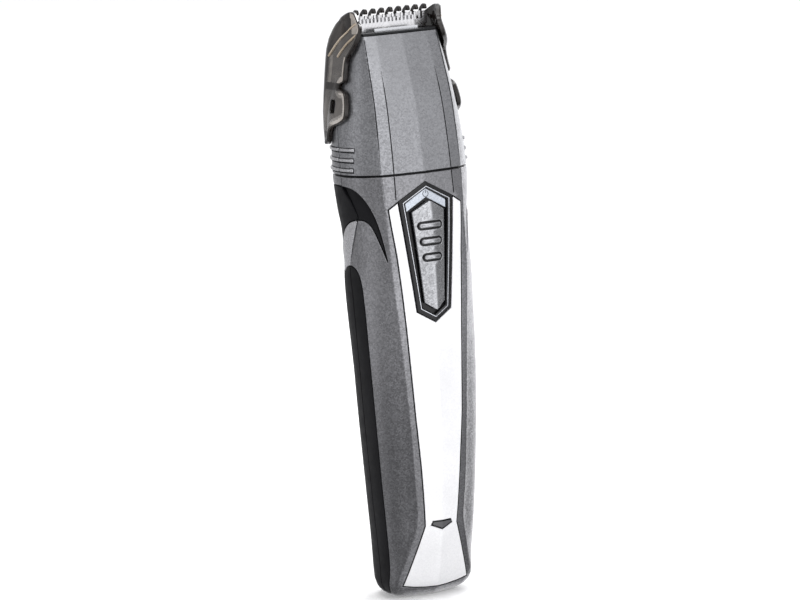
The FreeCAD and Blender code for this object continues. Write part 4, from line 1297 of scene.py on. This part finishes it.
def from_comb_edge(across, along):
    return line_distance(np.stack([np.abs(across), along], 1), np.array(COMB_FRONT))


def comb_top(across, along):
    """A raised rim runs just inside the front edge."""
    distance = from_comb_edge(across, along)
    return 0.34 * np.clip((1.9 - distance) / 0.5, 0, 1) * np.clip(distance / 0.3, 0.4, 1)


def comb_paint(across, along):
    """Slot of each top face: lighter copies of the smoke, painted light; later rules win over
    earlier ones.
    """
    y, z = COMB.point(np.abs(across), along)[:, 1:].T
    distance = from_comb_edge(across, along)
    slots = np.full(len(across), SMOKE)
    line_y = np.interp(z, [151.2, 154.4, 158.2, 160.4], [7.4, 3.9, -1.1, -4.2])
    # Painted light on the comb: a mid tone on the shoulder ahead of the raised lines, lit strips
    # on the arm and along the loop's front edge, and bright highlights along the front edge and
    # beside the blade
    slots[(y < line_y) & (z < 160.4) & (z > 131.0)] = HALF_LIT
    slots[(y > 5.2) & (y < 6.6) & (z > 143.0) & (z < 151.6)] = LIT
    slots[(distance < 2.2) & (z < 141.9) & (z > 132.5)] = LIT
    slots[(distance < 2.0) & (z > 143.8) & (z < 151.2)] = EDGE_HIGHLIGHT
    slots[(distance < 1.2) & (z > 133.0) & (z < 141.6)] = EDGE_HIGHLIGHT
    slots[(y < -2.6) & (z > 157.6)] = EDGE_HIGHLIGHT
    slots[(z < 144.3) & (z > 142.2)] = SMOKE
    return slots


def comb():
    # Down the right half: back opening, front edge, then the band low on the back
    opening_low, band_top = 149.7, 141.4
    path = ([(0.0, COMB.level(opening_low))]
            + COMB.from_face([(10.9, opening_low), (10.9, 157.6)])
            + COMB.from_side([(6.4, 159.9)]) + COMB_FRONT
            + COMB.from_face([(9.6, 127.4), (9.6, band_top)])
            + [(0.0, COMB.level(band_top))])
    path = line(path, 0.9)
    slot = COMB.from_side(ring(COMB_SLOT, 0.5))
    piece = Piece("comb", "comb", *COMB_MATERIALS)
    sheet(piece, COMB, [path + mirrored(path[1:-1][::-1]), slot, mirrored(slot)], top=comb_top,
          depth=COMB_WALL, edge=0.28, step=(0.42, 0.45), paint=comb_paint)
    # The raised lines take the golden copy of the smoke: painted highlight
    for points in COMB_LINES:
        for side in (-1, 1):
            middle = np.array(COMB.from_side(line(points, 0.7)))
            edges = np.gradient(middle, axis=0)
            out = np.stack([-edges[:, 1], edges[:, 0]], 1)
            out /= np.linalg.norm(edges, axis=1, keepdims=True)
            loop = np.vstack([middle + out * 0.24, (middle - out * 0.24)[::-1]])
            loop[:, 0] *= side
            sheet(piece, COMB, [loop], top=0.45, depth=0.3, edge=0.18, step=(9, 9), slot=RIB_HIGHLIGHT)
    for k in range(FIN_COUNT):
        x = (k - FIN_COUNT // 2) * FIN_PITCH
        plate(piece, ring(FIN, 1.2), "yz", x - FIN_HALF, x + FIN_HALF, edge=0.12)
    # Cross bars at the lower and upper ends of the fins
    plate(piece, [(9.6, 146), (12.6, 146), (10.9, 149.6), (7.9, 149.6)], "yz", -12.6, 12.6,
          edge=0.2)
    plate(piece, [(2.4, 158.9), (3.4, 158.9), (3.1, 160.3), (2.1, 160.3)], "yz", -12.9, 12.9,
          edge=0.15)
    piece.make(sharp=35)


comb()

# ---------------------------------------------------------------------------
# Blades: plates with round-ended teeth
# ---------------------------------------------------------------------------
TOOTH_COUNT = 15


def teeth(middle, half, root, tip, width):
    """Top edge from right to left: teeth standing on the line z = root."""
    pitch = 2 * half / TOOTH_COUNT
    radius = width / 2
    out = []
    for k in range(TOOTH_COUNT - 1, -1, -1):
        x = middle - half + pitch * (k + 0.5)
        out += [(x + radius * 1.25, root), (x + radius, root + 0.25), (x + radius, tip - radius)]
        out += [(x + radius * math.cos(angle), tip - radius + radius * math.sin(angle))
                for angle in np.linspace(0, math.pi, 7)[1:-1]]
        out += [(x - radius, tip - radius), (x - radius, root + 0.25),
                (x - radius * 1.25, root)]
    return out


def fixed_blade():
    # (x, z): lug at the right end
    lug = [(12.15, 158.2), (12.2, 158.4), (12.2, 161.2), (12.0, 161.6), (11.6, 161.75),
           (11.1, 161.6), (10.9, 161.1), (10.9, 159.7)]
    half = 10.3
    outline = ([(-half, 145.9), (half, 145.9), (half, 158.2)] + lug
               + teeth(middle=0.0, half=10.7, root=159.6, tip=161.8, width=0.82)
               + mirrored(lug[::-1]) + [(-half, 158.2)])
    piece = Piece("fixed_blade", "head", "blade_steel")
    plate(piece, outline, "xz", 1.0, 1.7, edge=0.05)
    piece.make(sharp=30)


def moving_blade():
    middle, half, low, high = -1.0, 9.1, 151.3, 159.6
    outline = ([(middle - half, low), (middle + half, low), (middle + half, high)]
               + teeth(middle, half=8.95, root=159.75, tip=160.95, width=0.66)
               + [(middle - half, high)])
    piece = Piece("moving_blade", "cutter", "blade_steel")
    plate(piece, outline, "xz", 0.25, 0.95, edge=0.06)
    piece.make(sharp=30)


fixed_blade()
moving_blade()

# ---------------------------------------------------------------------------
# CAD nodes that keep their shape, by material
# ---------------------------------------------------------------------------
KEPT = {
    "inner_black": ("seal_ring", "bulkhead", "switch_body", "charging_socket", "switch_stem",
                    "head_base", "blade_holder"),
    "inner_natural": ("chassis", "eccentric_cam", "rocker_lever", "blade_driver"),
    "motor_steel": ("motor",),
    "cell_sleeve": ("battery",),
    "contact_nickel": ("battery_contacts",),
    "board_green": ("circuit_board",),
    "led_clear": ("charge_led",),
    "steel": ("housing_screws", "tension_spring", "pivot_pin", "blade_screws"),
    "rim_black": ("blade_surround",),
}
# Bevel widths in metres
BEVELS = dict.fromkeys(("motor", "battery", "blade_surround", "housing_screws",
                        "charging_socket", "eccentric_cam"), 0.00012)
BEVELS["tension_spring"] = 0.00005

for material, names in KEPT.items():
    for name in names:
        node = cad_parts[name]
        if node.hide_render:
            continue
        node.data.materials.clear()
        node.data.materials.append(MATERIALS[material])
        if name in BEVELS:
            bevel = node.modifiers.new("edge", "BEVEL")
            bevel.width = BEVELS[name]
            bevel.segments = 2
            bevel.limit_method = "ANGLE"
            bevel.angle_limit = math.radians(40)
            bevel.use_clamp_overlap = True


# ---------------------------------------------------------------------------
# Stage, light and camera, in metres
# ---------------------------------------------------------------------------
def stage_floor():
    half, z = 6, -0.0002
    mesh = bpy.data.meshes.new("stage_floor")
    mesh.from_pydata([(-half, -half, z), (half, -half, z), (half, half, z), (-half, half, z)],
                     [], [(0, 1, 2, 3)])
    floor = bpy.data.objects.new("stage_floor", mesh)
    bpy.context.scene.collection.objects.link(floor)
    mat = Mat("stage_floor", {"Roughness": 0.6, "Specular IOR Level": 0.2,
                              "Emission Color": (1.0, 1.0, 1.0), "Emission Strength": 0.22})
    mat.shade({"Base Color": mat.ramp(mat.noise(scale=3, detail=2.0),
                                      [(0.3, 0.90), (0.7, 0.93)])})
    mesh.materials.append(MATERIALS["stage_floor"])
    floor.visible_glossy = False


# (azimuth in degrees, brightness of the surroundings): 0 is the front, +90 the right
AZIMUTH_LIGHT = [
    (-180, 0.6), (-150, 0.5), (-120, 0.6), (-98, 0.9), (-80, 0.8), (-62, 0.5), (-42, 0.48),
    (-22, 0.95), (-6, 1.7), (12, 1.75), (26, 1.5), (34, 1.15), (44, 0.9), (54, 0.9), (62, 0.3),
    (86, 0.2), (97, 1.6), (115, 2.15), (138, 1.6), (160, 0.8), (180, 0.6)]
# (0 straight down to 1 straight up, factor on the brightness)
ELEVATION_LIGHT = [(0.0, 0.6), (0.40, 1.0), (0.62, 1.0), (1.0, 0.75)]
WORLD_STRENGTH = 4      # the ramp colours are divided by this
BLUE_TINT = 1.02
BACKDROP_GRAY = 0.25    # what the camera itself sees


def studio_world():
    world = bpy.data.worlds.new("studio")
    bpy.context.scene.world = world
    world.use_nodes = True
    graph = Graph(world.node_tree)
    coords = graph.node("ShaderNodeTexCoord", {}).outputs["Generated"]
    axes = graph.node("ShaderNodeSeparateXYZ", {0: coords}).outputs
    azimuth = graph.math("ARCTAN2", axes["X"], graph.math("MULTIPLY", axes["Y"], -1))
    turn = graph.remap(azimuth, source=(-math.pi, math.pi), to=(0.0, 1.0))
    stops = []
    for degrees, light in AZIMUTH_LIGHT:
        gray = light / WORLD_STRENGTH
        stops.append(((degrees + 180) / 360, (gray, gray, gray * BLUE_TINT)))
    around_light = graph.ramp(turn, stops)
    rise = graph.remap(axes["Z"], source=(-1, 1), to=(0.0, 1.0))
    up_light = graph.ramp(rise, ELEVATION_LIGHT, "EASE")
    light = graph.mix(1.0, around_light, up_light, blend="MULTIPLY")
    seen = graph.node("ShaderNodeLightPath", {}).outputs["Is Camera Ray"]
    background = world.node_tree.nodes["Background"].inputs
    graph.feed(background["Color"], graph.mix(seen, light, (BACKDROP_GRAY,) * 3))
    graph.feed(background["Strength"], WORLD_STRENGTH)


def bearing(azimuth, elevation):
    """Unit direction; azimuth 0 is the front, positive to the right, in degrees."""
    turn, rise = math.radians(azimuth), math.radians(elevation)
    return (math.sin(turn) * math.cos(rise), -math.cos(turn) * math.cos(rise), math.sin(rise))


MIDDLE = (0, 0, 0.085)


def around(azimuth, elevation, distance):
    """Place at a distance from the middle of the trimmer."""
    x, y, z = bearing(azimuth, elevation)
    return (x * distance, y * distance, MIDDLE[2] + z * distance)


def softbox(name, location, target, size, power):
    """Rectangular light of the given size in metres and power in watts, aimed at target."""
    light = bpy.data.lights.new(name, "AREA")
    light.shape = "RECTANGLE"
    light.size, light.size_y = size
    light.energy = power
    lamp = bpy.data.objects.new(name, light)
    lamp.location = location
    aim = Vector(target) - Vector(location)
    lamp.rotation_euler = aim.to_track_quat("-Z", "Y").to_euler()
    bpy.context.scene.collection.objects.link(lamp)


CAMERA_AZIMUTH, CAMERA_ELEVATION, CAMERA_ROLL = -30.0, 8.573, 3.06     # degrees
CAMERA_DISTANCE = 1.2
AIM_UP, AIM_LEFT = 81.126681614 * MM, 5.868834081 * MM  # aim from the origin, in view axes


def camera():
    turn, roll = math.radians(CAMERA_AZIMUTH), math.radians(CAMERA_ROLL)
    toward = Vector(bearing(CAMERA_AZIMUTH, CAMERA_ELEVATION))
    level_right = Vector((math.cos(turn), math.sin(turn), 0))
    level_up = toward.cross(level_right)
    right = level_right * math.cos(roll) - level_up * math.sin(roll)
    up = level_up * math.cos(roll) + level_right * math.sin(roll)
    target = up * AIM_UP - right * AIM_LEFT
    data = bpy.data.cameras.new("camera")
    data.sensor_width = 36
    data.lens = 192.672
    data.clip_start, data.clip_end = 0.05, 20
    thing = bpy.data.objects.new("camera", data)
    matrix = Matrix((right, up, toward)).transposed().to_4x4()
    matrix.translation = target + toward * CAMERA_DISTANCE
    thing.matrix_world = matrix
    bpy.context.scene.collection.objects.link(thing)
    bpy.context.scene.camera = thing


stage_floor()
studio_world()
softbox("key", location=around(8, 38, 0.9), target=MIDDLE, size=(0.30, 0.45), power=0.5)
softbox("rim", location=around(128, 34, 0.8), target=(0, 0, 0.13), size=(0.25, 0.35), power=1.6)
softbox("floor_wash", location=(0.0, 0.3, 1.3), target=(0.0, 0.25, 0), size=(0.9, 0.9),
        power=6.0)
camera()
bpy.context.scene.view_settings.view_transform = "Standard"
